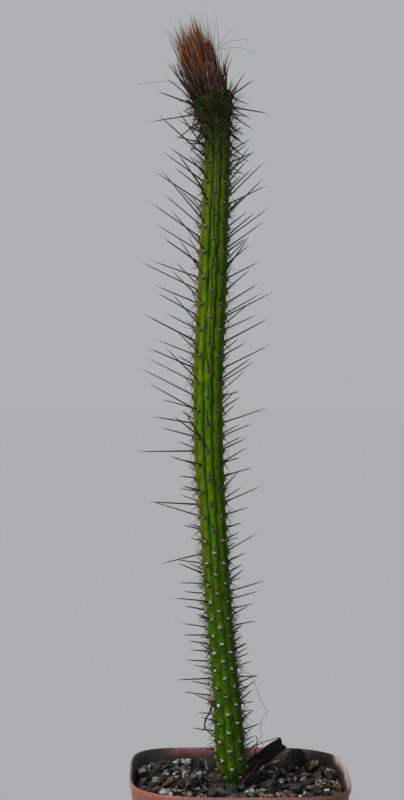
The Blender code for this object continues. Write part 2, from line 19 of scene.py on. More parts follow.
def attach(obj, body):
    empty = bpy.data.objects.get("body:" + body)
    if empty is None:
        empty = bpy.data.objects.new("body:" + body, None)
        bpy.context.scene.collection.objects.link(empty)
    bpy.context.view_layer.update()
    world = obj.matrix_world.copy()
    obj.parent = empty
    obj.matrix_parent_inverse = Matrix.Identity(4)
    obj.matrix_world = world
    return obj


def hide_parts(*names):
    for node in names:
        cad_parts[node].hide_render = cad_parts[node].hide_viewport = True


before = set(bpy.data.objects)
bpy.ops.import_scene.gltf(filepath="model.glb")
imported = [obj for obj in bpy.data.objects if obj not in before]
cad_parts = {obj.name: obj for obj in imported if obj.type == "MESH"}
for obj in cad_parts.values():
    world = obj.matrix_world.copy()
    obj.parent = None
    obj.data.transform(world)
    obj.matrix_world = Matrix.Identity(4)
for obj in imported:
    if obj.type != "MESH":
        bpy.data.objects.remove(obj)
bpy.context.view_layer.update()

bl_info = {
    "name": "Potted Columnar Cactus",
    "version": (1, 0, 0),
    "blender": (4, 5, 0),
    "location": "3D View > Sidebar > Cactus",
    "description": "Dresses the packed model of a potted columnar cactus with its finished surfaces",
    "category": "Object",
}

MERGE = 0.000001
FLOOR_RADIUS = 40
GOLDEN_ANGLE = math.pi * (3 - math.sqrt(5))

# Seeds of the random draws. The areoles' is the CAD solid's too.
AREOLE_SEED = 11
STONE_SEED = 7
FELT_SEED = 17
SPINE_SEED = 23
CROWN_SEED = 5

# Pot, measured across its flats on the outside, as the CAD shell has it
POT_SQUARENESS = 4.2
POT_WARP = 0.9
POT_FRONT_NARROWS = 0.018
POT_WALL = 0.0009
POT_HEIGHT = 0.085
POT_BASE_HALF = 0.0318
POT_RIM_HALF = 0.0435
LIP_HEIGHT = 0.0022
LIP_STANDS_OUT = 0.0002
BASE_ROUND = 0.0018
DRAIN_RADIUS = 0.0036
DRAIN_OFFSET = 0.0165
DRILL_DEPTH = 0.006
DRAIN_SIDES = 32
WALL_RINGS = 8

# Grit: the fines lie FINES_SUNK below the top of the stones, rough by BED_ROUGH and lower round the stem
GRIT_TOP = 0.0800
GRIT_FLOOR = 0.0012
GRIT_SIDE_GAP = 0.0005
FINES_SUNK = 0.0016
BED_ROUGH = 0.0012
BED_DIP = 0.0018
BED_RINGS = 30
STEM_ROOM = 0.0044
BARK_ROOM = 0.0012

# Stem: height and sideways place of its centre line, then height and radius at the rib crests
RIBS = 10
STEM_DEPTH = -0.0010
STEM_LINE = (
    (0.058, -0.0019), (0.078, -0.0024), (0.086, -0.0026), (0.093, -0.0034), (0.098, -0.0038),
    (0.112, -0.0046), (0.135, -0.0067), (0.165, -0.0091), (0.185, -0.0103), (0.209, -0.0119),
    (0.233, -0.0123), (0.248, -0.0121), (0.272, -0.0109), (0.308, -0.0095), (0.326, -0.0087),
    (0.338, -0.0086), (0.347, -0.0096), (0.356, -0.011),
)
STEM_RADIUS = (
    (0.0585, 0.0014), (0.062, 0.0018), (0.077, 0.002), (0.079, 0.0022), (0.0808, 0.0028), (0.0834, 0.0047),
    (0.086, 0.0058), (0.089, 0.006), (0.098, 0.006), (0.112, 0.0057), (0.135, 0.0053), (0.155, 0.0054),
    (0.185, 0.0055), (0.209, 0.006), (0.248, 0.0061), (0.29, 0.0059), (0.33, 0.0053), (0.34, 0.0056),
    (0.346, 0.0068), (0.3515, 0.0083), (0.3543, 0.0081), (0.3555, 0.0069),
)
STEM_FOOT = STEM_RADIUS[0][0]
RIBS_START = 0.0790
RIBS_FULL = 0.0880
HEAD_FOOT = 0.3350
HEAD_TOP = 0.3555
HEAD_TILT = math.radians(15)
GROOVE_DEPTH = 0.0011
AREOLE_BUMP = 0.0004
CREST_DIP = 0.0002

# Areoles sit in rows half a pitch apart, on odd and even ribs in turn. Height and pitch along one rib.
LOWEST_AREOLE = 0.0834
HIGHEST_AREOLE = 0.3545
AREOLE_PITCH = (
    (0.0834, 0.0072), (0.118, 0.0071), (0.126, 0.0067), (0.152, 0.0069), (0.162, 0.008), (0.175, 0.0094),
    (0.195, 0.0105), (0.235, 0.0108), (0.265, 0.0102), (0.292, 0.0103), (0.305, 0.0092), (0.32, 0.008),
    (0.335, 0.0076), (0.35, 0.0056),
)

# Central spines: height along the stem, rise above level in degrees, and length
SPINE_RISE = (
    (0.084, 26), (0.12, 14), (0.16, 15), (0.2, 15), (0.24, 30), (0.32, 39), (0.338, 22), (0.352, 34),
)
SPINE_LENGTH = (
    (0.084, 0.0075), (0.11, 0.009), (0.15, 0.01), (0.19, 0.013), (0.23, 0.0195), (0.31, 0.0225),
    (0.335, 0.013), (0.352, 0.014),
)
SPINE_SWING = 24
FRONT_SWING_SHARE = 0.2
SPINE_WOBBLE = 9
SPINE_VARIES = (0.55, 1.10)

# Central spines that shape the outline seen from the front, in mm: height of the areole, then how far the
# spine goes sideways, to the left below zero, and up. Even rows and odd rows have them on different ribs.
LEFT_RIBS = (7, 8)
RIGHT_RIBS = (3, 2)
OUTLINE_SPINES = (
    (94, -4.5, 1), (101, -9.5, 2.5), (108.5, -7, 1), (115.5, -12.5, 2.5), (119, -9, 1.5), (123, -14.5, 0.5),
    (129.5, -10, 1), (136, -8.5, 2), (139.5, -10.5, -0.5), (143, -10.5, 2.5), (146, -5, 1.5), (153, -13, 1),
    (156.5, -8.5, 1), (160, -10.5, 0), (164, -10.5, 5), (172.5, -16.5, -3.5), (177, -4.5, 1), (182, -7, 2),
    (187, -20, 6), (192, -19.5, 1.5), (197, -7.5, 1), (202.5, -7, 1), (208, -10.5, 3), (213, -22.5, 0),
    (218.5, -13.5, 4), (224, -16.5, 3), (229.5, -19, 11), (234.5, -21.5, 11.5), (240, -18.5, 10),
    (245.5, -18.5, 8.5), (251, -15, 6.5), (256, -20.5, 11), (261, -12, 6.5), (266.5, -16, 9.5),
    (271.5, -17.5, 8), (276.5, -23.5, 11.5), (281.5, -19, 8), (287, -14.5, 11), (292, -18, 12.5),
    (297, -20.5, 14.5), (302, -15.5, 14.5), (307, -9, 10.5), (311.5, -19.5, 14), (332, -11.5, 17),
    (343, -5, -10), (346.5, -9.5, -9), (349.5, -19, -2), (352.5, -14.5, 5), (98, 4, 4), (101.5, 7, 3.5),
    (105, 5, 4), (112, 5, 4.5), (115.5, 6.5, 6), (123, 8.5, 0.5), (133, 5, 2.5), (136, 3.5, 3),
    (146, 6.5, 4), (149.5, 9, 2.5), (153, 11.5, 3), (156.5, 14, 5), (160, 6, 5), (164, 5.5, 3.5),
    (172.5, 12, 8), (177, 5, 3), (182, 6.5, 2.5), (192, 14.5, 7), (197, 6, 7), (202.5, 11.5, 4),
    (208, 10, 6.5), (213, 9.5, 5), (218.5, 12.5, 5.5), (224, 17.5, 6), (229.5, 7.5, 5.5), (234.5, 7, 2),
    (240, 13.5, 9), (245.5, 19, 10), (251, 9.5, 6), (256, 18, 10), (261, 13.5, 7), (266.5, 19, 10),
    (271.5, 13.5, 9), (276.5, 9.5, 9), (281.5, 14, 8), (287, 9, 8.5), (292, 7.5, 6.5), (297, 16.5, 12.5),
    (302, 8, 7), (307, 14, 14.5), (311.5, 16, 9), (316, 9, 9.5), (320, 7, 10), (336, 6, -5),
    (339.5, 6, -5.5), (343, 5.5, -4.5), (346.5, 9, -7.5), (349.5, 15, -2), (352.5, 8.5, 6),
)

# Central spines that cross the stem as seen from the front: height of the areole in mm, its rib, the turn of
# the spine from the rib in degrees, and how far it goes sideways and up in mm
FRONT_SPINES = (
    (133, 9, -24, -6.5, 5), (213, 0, -40, -10, 17), (229.5, 9, -24, -15, 4.5), (240, 9, -24, -13.5, 14),
    (251, 9, -24, -9, 9), (261, 9, -24, -12, 14), (271.5, 9, -24, -13, 13.5), (281.5, 9, -24, -10, 15),
    (292, 9, -24, -13.5, 16), (302, 9, -24, -18.5, 22), (328, 9, -24, -20.5, 17),
)
# How the CAD solid draws the one radial spine of each areole
RADIAL_LENGTH = (0.003, 0.0055)
RADIAL_SPREAD = (38, 66)
RADIAL_RISE = (-8, 34)

# How deep a spine's root is sunk, and a wool pad's halves across, up and out. Near the bark a spine turns up
# by so many degrees and shortens to that share, step by step, until it has room.
ROOT_SUNK = 0.0011
PAD_HALVES = (0.00084, 0.00094, 0.00055)
PAD_SHAPES = 5
CLEAR_ROOM = 0.0012
CLEAR_TURN = 8
CLEAR_SHORTEN = 0.93

# Spines and bristles are shaped at one length and then stretched. A profile holds shares of the length and of
# the radius, and a bend is how far the tip goes sideways.
SPINE_UNIT = 0.010
STOUT = ((0, 1.7), (0.08, 1.15), (0.45, 0.88), (0.8, 0.62), (1, 0))
FINE = ((0, 1.0), (0.5, 0.8), (1, 0))
CENTRAL_BENDS = (-0.0002, 0, 0.0001, 0.0003)
RADIAL_BENDS = (-0.0006, 0, 0.0006)
BRISTLE_UNIT = 0.025
BRISTLE = ((0, 1.0), (0.3, 0.95), (0.6, 0.8), (0.85, 0.45), (1, 0))
BRISTLE_BENDS = (-0.0022, -0.001, 0, 0.001, 0.0022)

# Crown: its axis leans to -X more than the stem's tip does
CROWN_LEAN = math.radians(15)
CROWN_CORE = ((0.0, 0.0062), (0.0030, 0.0060), (0.0090, 0.0052), (0.0170, 0.0034), (0.0230, 0.0012))
FIT_GAP = 0.0003

# The bristles stand a little off the core's axis, and their tips more so. The discs are the brush's radius at
# its roots and at its tips, and TUFTS_TOP is how high its middle tufts stand above the head.
ROOTS_SHIFT = -0.0009
TUFTS_SHIFT = -0.0013
ROOTS_DISC = 0.0060
TUFTS_DISC = 0.0080
TUFTS = 34
TUFTS_TOP = 0.0325
LOOSE_BRISTLES = 18
SINGLE_HAIRS = 14
LEANING_BRISTLES = 12

# Bristles round the crown's foot: thick ones that stand off, short ones round the head's rim, and pale hairs.
# They have the radius of their ring, the heights of their roots, their splay in degrees, their length, and
# their thickness against a bristle's own.
Ruff = namedtuple("Ruff", "kind count ring heights splays lengths thick")
RUFFS = (
    Ruff("dark", 40, 0.0068, (-0.0014,), (6, 30), (0.007, 0.018), 1.7),
    Ruff("dark", 44, 0.0078, (-0.0010, -0.0040), (8, 75), (0.0030, 0.0075), 1.0),
    # The pale hairs are partly painted highlight: they also stand for glints on the dark strands at the
    # crown's foot
    Ruff("pale", 60, 0.0063, (-0.0010, 0.0030), (1, 20), (0.006, 0.018), 0.6),
)

# Fine hairs that stray from the crown, by points in mm
STRAY_HAIRS = (
    ((-11.5, -4.0, 370.4), (-9.2, -4.6, 372.1), (-4.1, -5.0, 373.0), (0.5, -4.6, 373.2), (6.2, -3.5, 371.3)),
    ((-11.6, -3.0, 369.8), (-9.2, -3.6, 372.1), (-4.1, -4.5, 375.6), (3.3, -4.5, 376.7)),
    ((-11.4, -2.0, 370.2), (-9.2, -2.4, 373.6), (-6.1, -2.8, 377.0), (-2.7, -3.0, 381.0)),
    ((-17, -3, 356.6), (-21, -4, 357.8), (-24.7, -5, 359), (-29.2, -5.6, 359.7), (-40.1, -5, 358.5)),
    ((-12.2, -8.2, 356.9), (-10.6, -9.6, 354.0), (-8.4, -9.6, 355.0), (-5.6, -8.4, 357.2)),
)
# Dried scraps as thin as thread: finish, radius, sides, how thin the tip is, and points in mm
Scrap = namedtuple("Scrap", "name finish radius sides tip points")
SCRAPS = (
    Scrap("dry_filament", "black", 0.00042, 7, 0.35, (
        (-10.5, -3.2, 112), (-11.5, -3.8, 109.7), (-12.1, -4.1, 108.3), (-13.3, -4.2, 106.4),
        (-13.7, -4, 104.1), (-13.1, -3.6, 102.6), (-12, -3.4, 101.3),
    )),
    Scrap("dry_filament_low", "black", 0.00030, 6, 0.3, (
        (-12.8, -4.2, 107.5), (-13.6, -4.2, 104.6), (-14, -4, 103), (-14.6, -3.7, 101.4),
    )),
    Scrap("dark_twig", "black", 0.00022, 6, 0.7, (
        (3, 8, 90.8), (6.5, 10.5, 92.4), (10.5, 11.6, 94), (16.8, 12, 95.8),
    )),
    Scrap("upright_rootlet", "black", 0.00024, 6, 0.6, (
        (6.6, 11.2, 88), (7, 10.4, 91.1), (7.5, 10.2, 92.1), (7.7, 10, 95), (7.2, 9.8, 97.1),
    )),
    Scrap("loose_thread", "tan", 0.00009, 5, 0.9, (
        (1, -4, 125), (4.5, -3.6, 124.2), (6.5, -2.6, 119.8), (8.5, -1.6, 114.3), (10.5, -0.6, 110.3),
        (11.4, 0, 108.5), (10.5, 0.6, 106.8), (9.4, 1.4, 105.1), (8.9, 2, 104.2), (9.3, 3, 102.8),
        (8.7, 4.5, 101.1), (9, 5.5, 99.6), (9.7, 7, 98), (8.6, 8.5, 95.8), (9.4, 10, 94), (10.3, 11.2, 92.2),
    )),
    Scrap("tan_rootlet", "tan", 0.00022, 6, 0.6, (
        (1.2, -5.5, 81.2), (3, -4.8, 83.4), (5.2, -2.2, 85), (7, 2, 86.2), (8, 6, 86.8),
    )),
)
# Bark slab, by the middle of its low end and of its high end, and the dark chunk
BARK_LOW = Vector((-0.0002, 0.0110, 0.0806))
BARK_HIGH = Vector((0.0188, 0.0120, 0.0940))
BARK_HALF_WIDTH = 0.0029
BARK_HALF_THICKNESS = 0.0014
BARK_NOTCH = 0.0007
BARK_CUTS = (34, 10, 3)
CHUNK_PLACE = Vector((0.0250, 0.0325, 0.0790))
CHUNK_HALF = Vector((0.0052, 0.0040, 0.0078))

# Stone kinds: share of the mix, length, width and thickness against the drawn size, corners of the rough hull
StoneKind = namedtuple("StoneKind", "share long wide flat corners")
STONE_KINDS = {
    "slate": StoneKind(0.37, 1.15, 0.80, 0.55, 10),
    "gneiss": StoneKind(0.18, 1.00, 0.85, 0.70, 12),
    "quartz": StoneKind(0.07, 0.65, 0.50, 0.45, 11),
    "sandstone": StoneKind(0.12, 1.20, 0.66, 0.60, 12),
    "limestone": StoneKind(0.15, 1.10, 0.72, 0.64, 12),
    "mossy_stone": StoneKind(0.03, 1.00, 0.90, 0.80, 14),
    "wood_chip": StoneKind(0.10, 1.60, 0.42, 0.28, 9),
}
STONE_SHAPES = 9
STONE_TRIES = 60
STONE_CROWDING = 0.74

# Stones that stand out in the mix: kind, place across and in depth in mm, half length in mm, and turn and
# tip in degrees
NOTED_STONES = (
    ("mossy_stone", -38.2, 9.8, 3.9, 10, 70), ("quartz", -34.3, 13.3, 1.7, 0, 80),
    ("gneiss", -33.2, 18.6, 2.4, 0, 80), ("quartz", -29.8, 13.3, 1.9, 20, 15),
    ("slate", -29.7, 25.5, 2.9, 5, 10), ("sandstone", -31.5, 33, 2.6, 0, 5),
    ("quartz", -25.9, 35, 1.5, 10, 10), ("quartz", -21.4, 36.4, 2.7, 10, 10),
    ("gneiss", -22.5, 20.4, 2.5, 60, 20), ("limestone", -14.3, 37.5, 2.4, 40, 30),
    ("wood_chip", -12.6, 24, 3.6, 100, 50), ("wood_chip", -16.4, 27, 2.8, 80, 35),
    ("quartz", -16.3, 9.8, 2.5, 70, 40), ("sandstone", -27.3, 0.6, 2.8, 25, 30),
    ("limestone", -33.8, -5, 3.2, 30, 12), ("slate", -23, -6, 3.1, 60, 40),
    ("mossy_stone", -36.9, -14, 2.6, 20, 20), ("quartz", -28.4, -21, 3.4, 170, 10),
    ("limestone", -18.6, -20.5, 2.3, 20, 10), ("slate", -10.8, -19.5, 2.4, 15, 20),
    ("sandstone", -9.3, 4.5, 1.9, 90, 75), ("slate", -6.4, -8.6, 2.4, 30, 15),
    ("slate", 1.4, -8, 2.6, 160, 10), ("sandstone", 5.6, -7.6, 2, 20, 20), ("quartz", 3.6, -20.5, 3, 5, 10),
    ("gneiss", 8.9, 5.6, 2.4, 150, 20), ("gneiss", 10, 17, 2, 60, 30),
    ("limestone", 14.3, 9.4, 2.5, 60, 50), ("limestone", 18.6, 18, 2.3, 110, 40),
    ("slate", 11.4, -4.6, 4.2, 5, 8), ("limestone", 11.6, -22.5, 2.4, 0, 10),
    ("wood_chip", 16, 33.5, 3.4, 15, 12), ("quartz", 25.2, 25.8, 1.2, 0, 0),
    ("limestone", 31.3, 29.5, 3.9, 20, 28), ("sandstone", 21.2, 1.6, 2, 40, 20),
    ("slate", 21.9, -11, 3.2, 10, 5), ("gneiss", 26.9, -22.5, 2.6, 0, 10),
    ("limestone", 30.5, -15, 2, 30, 20), ("limestone", 32, -5, 2.8, 80, 50),
    ("limestone", 37.6, 11.6, 2.7, 120, 60), ("sandstone", 36.2, -1, 2.2, 100, 20),
    ("sandstone", 34.4, -20, 3, 20, 10),
)

# Light: how far up the surround stays pale, as the sine of the climb, and the key light's direction and
# softness in degrees
PALE_UP_TO = 0.27
KEY_FROM_LEFT = 52
KEY_CLIMB = 46
KEY_SPREAD = 16

# The camera looks level along +Y. Its film's height and its lens are in mm.
CAMERA_PLACE = (-0.0147, -0.64, 0.2333)
FILM_HEIGHT = 24
LENS = 48

# A colour Mix node's sockets have no names of their own
SHARE, UNDER, OVER = 0, 6, 7
COLOUR_MIX = {"output": 2, "data_type": "RGBA"}

Areole = namedtuple("Areole", "height seat outward up aim length")


def linear(hex_colour):
    """An sRGB hex colour as linear red, green and blue, with an alpha of 1."""
    channels = [int(hex_colour[i : i + 2], 16) / 255 for i in (0, 2, 4)]
    return *(c / 12.92 if c <= 0.04045 else ((c + 0.055) / 1.055) ** 2.4 for c in channels), 1


def size(name, description, default):
    """A length that the user may change."""
    return FloatProperty(
        name=name, description=description, default=default, min=0, unit="LENGTH", precision=5
    )


def colour(name, description, hex_colour):
    """A colour that the user may change."""
    return FloatVectorProperty(
        name=name, description=description, default=linear(hex_colour), subtype="COLOR", size=4, min=0, max=1
    )


def along(table, at):
    """The smooth curve through a table of (place, value) pairs, read at one place."""
    if at <= table[0][0]:
        return table[0][1]
    if at >= table[-1][0]:
        return table[-1][1]
    i = next(n for n in range(len(table) - 1) if at <= table[n + 1][0])
    (x0, y0), (x1, y1) = table[i], table[i + 1]
    before = table[max(i - 1, 0)]
    after = table[min(i + 2, len(table) - 1)]
    slope0 = (y1 - before[1]) / (x1 - before[0])
    slope1 = (after[1] - y0) / (after[0] - x0)
    span = x1 - x0
    t = (at - x0) / span
    return (
        y0 * (1 + 2 * t) * (1 - t) ** 2
        + slope0 * span * t * (1 - t) ** 2
        + y1 * t * t * (3 - 2 * t)
        + slope1 * span * t * t * (t - 1)
    )


def ease(low, high, at):
    """0 at low and before it, 1 at high and past it, and a smooth step between them."""
    t = max(0.0, min(1.0, (at - low) / (high - low)))
    return t * t * (3 - 2 * t)


def spoke(angle):
    """A level unit vector, turned round from +X."""
    return Vector((math.cos(angle), math.sin(angle), 0))


def fill(node, inputs):
    """Sets a node's inputs, each to its value or to the output that feeds it."""
    for name, value in inputs.items():
        if isinstance(value, bpy.types.NodeSocket):
            node.id_data.links.new(value, node.inputs[name])
        else:
            node.inputs[name].default_value = value


def add_node(tree, kind, inputs, output=0, stops=(), **settings):
    """Adds a shader node with its settings and links, and returns one output. stops fills a colour ramp."""
    node = tree.nodes.new("ShaderNode" + kind)
    for name, value in settings.items():
        setattr(node, name, value)
    fill(node, inputs)
    for i, (place, shade) in enumerate(stops):
        stop = node.color_ramp.elements[i] if i < 2 else node.color_ramp.elements.new(place)
        stop.position = place
        stop.color = shade
    return node.outputs[output]


def new_material(name, **sockets):
    """A Principled material with its plain sockets set. Returns it, its shader, and add_node for its tree."""
    made = bpy.data.materials.new(name)
    made.use_nodes = True
    shader = made.node_tree.nodes["Principled BSDF"]
    fill(shader, {"Metallic": 0} | {socket.replace("_", " "): value for socket, value in sockets.items()})
    return made, shader, partial(add_node, made.node_tree)


def loft(segments, rings, place, marks=()):
    """Rolls a grid up into stacked rings and closes it. place(ring, turn) gives a point and its marks."""
    bm = bmesh.new()
    layers = [bm.verts.layers.float.new(mark) for mark in marks]
    bmesh.ops.create_grid(bm, x_segments=segments, y_segments=rings - 1, size=1)
    for vert in bm.verts:
        turn = (vert.co.x + 1) * math.pi
        ring = round((vert.co.y + 1) / 2 * (rings - 1))
        vert.co, *values = place(ring, turn)
        for layer, value in zip(layers, values):
            vert[layer] = value
    bmesh.ops.remove_doubles(bm, verts=bm.verts, dist=MERGE)
    bmesh.ops.holes_fill(bm, edges=[edge for edge in bm.edges if edge.is_boundary], sides=0)
    bmesh.ops.recalc_face_normals(bm, faces=bm.faces)
    return bm


def as_mesh(name, bm):
    mesh = bpy.data.meshes.new(name)
    bm.to_mesh(mesh)
    bm.free()
    return mesh


def add_piece(name, bm, finish, node=None, sharp=None):
    """Makes a piece that rides on the root body. Edges sharper than sharp, in degrees, stay crisp."""
    mesh = as_mesh(name, bm)
    mesh.materials.append(finish)
    mesh.shade_smooth()
    if sharp is not None:
        mesh.set_sharp_from_angle(angle=math.radians(sharp))
    piece = bpy.data.objects.new(name, mesh)
    bpy.context.scene.collection.objects.link(piece)
    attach(piece, "root")
    if node:
        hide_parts(node)
    return piece


def gather(copies):
    """One bmesh of many copies. copies are (mesh, matrix) pairs, and each mesh was made once."""
    bm = bmesh.new()
    for mesh, matrix in copies:
        copy = mesh.copy()
        copy.transform(matrix)
        bm.from_mesh(copy)
        bpy.data.meshes.remove(copy)
    return bm


def tube(points, radius, sides, tip):
    """A closed round tube through points in mm, thinning evenly to tip times its radius."""
    last = len(points) - 1
    count = last * 6
    tables = [[(i, value / 1000) for i, value in enumerate(axis)] for axis in zip(*points)]

    def on_line(at):
        return Vector([along(table, at) for table in tables])

    def place(ring, turn):
        at = ring / count * last
        ahead, behind = on_line(min(at + 0.05, last)), on_line(max(at - 0.05, 0))
        reach = radius * (1 - (1 - tip) * ring / count)
        return (on_line(at) + (ahead - behind).to_track_quat("Z", "Y") @ spoke(turn) * reach,)

    return loft(sides, count + 1, place)


def spine_shape(name, length, radius, profile, sides, bend):
    """A spine along +Z, its root at the origin. profile holds shares of the length and of the radius."""

    def place(ring, turn):
        share, thick = profile[ring]
        return spoke(turn) * radius * thick + Vector((bend * share * share, 0, share * length)), share

    return as_mesh(name, loft(sides, len(profile), place, marks=("along",)))


def aim_matrix(root, aim, roll, thick, long):
    """Stands a spine on its root along aim, turned about itself by roll."""
    turn = aim.to_track_quat("Z", "Y").to_matrix().to_4x4()
    scale = Matrix.Diagonal((thick, thick, long, 1))
    return Matrix.Translation(root) @ turn @ Matrix.Rotation(roll, 4, "Z") @ scale


def squircle(angle):
    """The pot's outline at half width 1: a rounded square, a little squeezed along one diagonal."""
    c, s = math.cos(angle), math.sin(angle)
    power = POT_SQUARENESS - POT_WARP * math.sin(2 * angle)
    reach = (abs(c) ** power + abs(s) ** power) ** (-1 / power)
    return Vector((c * reach * (1 + POT_FRONT_NARROWS * s * reach), s * reach, 0))


def pot_half_width(height):
    """Half the pot's outer width on its straight tapering side."""
    return POT_BASE_HALF + (POT_RIM_HALF - POT_BASE_HALF) * height / POT_HEIGHT


def inner_half_width(height):
    return pot_half_width(height) - POT_WALL - GRIT_SIDE_GAP


def stem_centre(height):
    return Vector((along(STEM_LINE, height), STEM_DEPTH, height))


def stem_tilt(height):
    """Sets a level ring square to the stem's centre line, and near the top to the head's own tilt."""
    step = 0.002
    lean = along(STEM_LINE, height + step) - along(STEM_LINE, height - step)
    angle = -math.atan2(lean, 2 * step)
    share = max(0.0, min(1.0, (height - HEAD_FOOT) / (HEAD_TOP - HEAD_FOOT)))
    angle = angle * (1 - share) + HEAD_TILT * share
    return Matrix.Rotation(-angle, 3, "Y")


def areole_rows():
    """Heights of the rows, half a pitch apart, from the lowest areole up."""
    rows = [LOWEST_AREOLE]
    while rows[-1] < HIGHEST_AREOLE:
        rows.append(rows[-1] + along(AREOLE_PITCH, rows[-1]) / 2)
    return rows[:-1]


def row_number(rows, height):
    """How many rows up a height is, as a fraction."""
    i = max(1, min(len(rows) - 1, bisect_right(rows, height)))
    return i - 1 + (height - rows[i - 1]) / (rows[i] - rows[i - 1])


def rib_angle(rib):
    return math.radians(-90) + rib * math.tau / RIBS


def distance_to_segment(point, start, end):
    line = end - start
    share = max(0.0, min(1.0, (point - start).dot(line) / line.length_squared))
    return (point - start - line * share).length


def clear_of_bark(root, tip):
    room = BARK_HALF_WIDTH + CLEAR_ROOM
    points = (root, (root + tip) / 2, tip)
    return all(distance_to_segment(point, BARK_LOW, BARK_HIGH) > room for point in points)


def aim_from(outward, up, rise, swing):
    """A direction that leaves the stem outward, turned sideways by swing and upward by rise, in degrees."""
    side = up.cross(outward)
    level = outward * math.cos(math.radians(swing)) + side * math.sin(math.radians(swing))
    return (level * math.cos(math.radians(rise)) + up * math.sin(math.radians(rise))).normalized()


def noted_reaches(rows):
    """How far each noted spine goes from its areole, by row and rib. Its heading gives its share of depth."""
    noted = []
    for height, sideways, up in OUTLINE_SPINES:
        noted.append((height, LEFT_RIBS if sideways < 0 else RIGHT_RIBS, 0, sideways, up))
    for height, rib, turn, sideways, up in FRONT_SPINES:
        noted.append((height, (rib, rib), turn, sideways, up))
    reaches = {}
    for height, ribs, turn, sideways, up in noted:
        row = min(range(len(rows)), key=lambda i: abs(rows[i] * 1000 - height))
        rib = ribs[row % 2]
        depth = sideways * math.tan(rib_angle(rib) + math.radians(turn))
        reaches[row, rib] = Vector((sideways, depth, up)) / 1000
    return reaches


def areoles():
    """Every areole with its central spine, drawn in the CAD solid's order, so that the two agree."""
    found = []
    draw = random.Random(AREOLE_SEED)
    rows = areole_rows()
    reaches = noted_reaches(rows)
    for row, height in enumerate(rows):
        up = stem_tilt(height) @ Vector((0, 0, 1))
        for rib in range(1 - row % 2, RIBS, 2):
            outward = stem_tilt(height) @ spoke(rib_angle(rib))
            seat = stem_centre(height) + outward * along(STEM_RADIUS, height)
            root = seat - outward * ROOT_SUNK
            rise = along(SPINE_RISE, height) + draw.uniform(-SPINE_WOBBLE, SPINE_WOBBLE)
            swing = draw.uniform(-SPINE_SWING, SPINE_SWING) * (FRONT_SWING_SHARE if rib == 0 else 1)
            length = along(SPINE_LENGTH, height) * draw.uniform(*SPINE_VARIES) + ROOT_SUNK
            aim = aim_from(outward, up, rise, swing)
            if (row, rib) in reaches:
                aim = (seat + reaches[row, rib] - root).normalized()
                length = (seat + reaches[row, rib] - root).length
            while not clear_of_bark(root, root + aim * length):
                rise += CLEAR_TURN
                length *= CLEAR_SHORTEN
                aim = aim_from(outward, up, rise, swing)
            found.append(Areole(height, seat, outward, up, aim, length))
            # The CAD solid draws its radial spine here, so the same draws are taken and left unused
            draw.choice((-1, 1))
            for span in (RADIAL_SPREAD, RADIAL_RISE, RADIAL_LENGTH):
                draw.uniform(*span)
    return found


class PotSettings(bpy.types.PropertyGroup):
    segments: IntProperty(name="Segments", description="Points round the pot", default=160, min=32)
    fresh: colour("Fresh plastic", "Less faded plastic at the front left", "AB5E4E")
    faded: colour("Faded plastic", "Sun-bleached terracotta plastic on the outside", "9A6458")
    # Partly painted shade: the pot's right side, away from the key light, is darker
    greyed: colour("Greyed plastic", "Dusty plastic at the right", "664136")
    dusty: colour("Dusty edge", "Pale dust on the lip at both sides", "B09884")
    algae: colour("Algae stain", "Dark green-black film inside at the left", "38403B")
    rosy: colour("Inner back wall", "Rosy plastic inside at the back", "9A5E61")
    # Partly painted shade: near-black inside at the back right, partly a dark film and partly shade painted in
    film_and_painted_shade: colour("Inner back right", "Black film inside at the back right", "2A2422")
    # Partly painted light: the inner right wall is lightened as if lit, over its own chalky mauve
    mauve: colour("Inner right wall", "Chalky mauve plastic inside at the right", "EACECE")
    silt: colour("Silt line", "Brown dirt on the wall above the grit", "3E2F28")


class GritSettings(bpy.types.PropertyGroup):
    stones: IntProperty(name="Stones", description="Stones and chips on the surface", default=950, min=0)
    smallest: size("Smallest stone", "Half length of the smallest stones", 0.0008)
    largest: size("Largest stone", "Half length of the largest stones", 0.0031)
    # Partly painted shade: the fines are near-black so that the gaps between the stones look deep
    fines: colour("Fines", "Damp dust and humus between the stones", "0B0907")
    slate: colour("Slate", "Dark blue-grey slate chips", "202A37")
    gneiss: colour("Gneiss", "Mid grey speckled chips", "726D63")
    quartz: colour("Quartz", "White vein quartz", "E2E4E4")
    sandstone: colour("Sandstone", "Ochre to rust iron-stained chips", "9C7450")
    limestone: colour("Limestone", "Cream to tan chips", "C8B89C")
    moss: colour("Mossy stone", "Grey-green lichened stones", "8C9284")
    wood: colour("Wood chip", "Grey-brown chips of wood", "8E7A6A")


class StemSettings(bpy.types.PropertyGroup):
    columns: IntProperty(name="Columns", description="Points round the stem", default=120, min=40)
    ring_gap: size("Ring gap", "Height between two rings of the skin", 0.0006)
    crest: colour("Crest", "Yellowish green of the rib crests", "749008")
    fresh: colour("Fresh green", "Purer green of the crests in patches", "407A0A")
    # Painted shade: this deep green darkens the grooves and the creases between areoles, and also lies in
    # streaks and over the low stem
    deep_green_and_groove_shade: colour("Groove", "Deep green of the grooves", "142A05")
    blush: colour("Blush", "Olive brown of the weathered left side", "766E20")
    # Painted shade: this deeper green darkens the side away from the key light
    painted_shade: colour("Shaded side", "Deeper green of the side that faces away from the sun", "264405")
    # Partly painted shade: the skin darkens near the head, where the crown and dense spines shade it, and
    # partly it is older skin
    old_skin_and_shade: colour("Old skin", "Darker green of the crowded tip", "193106")


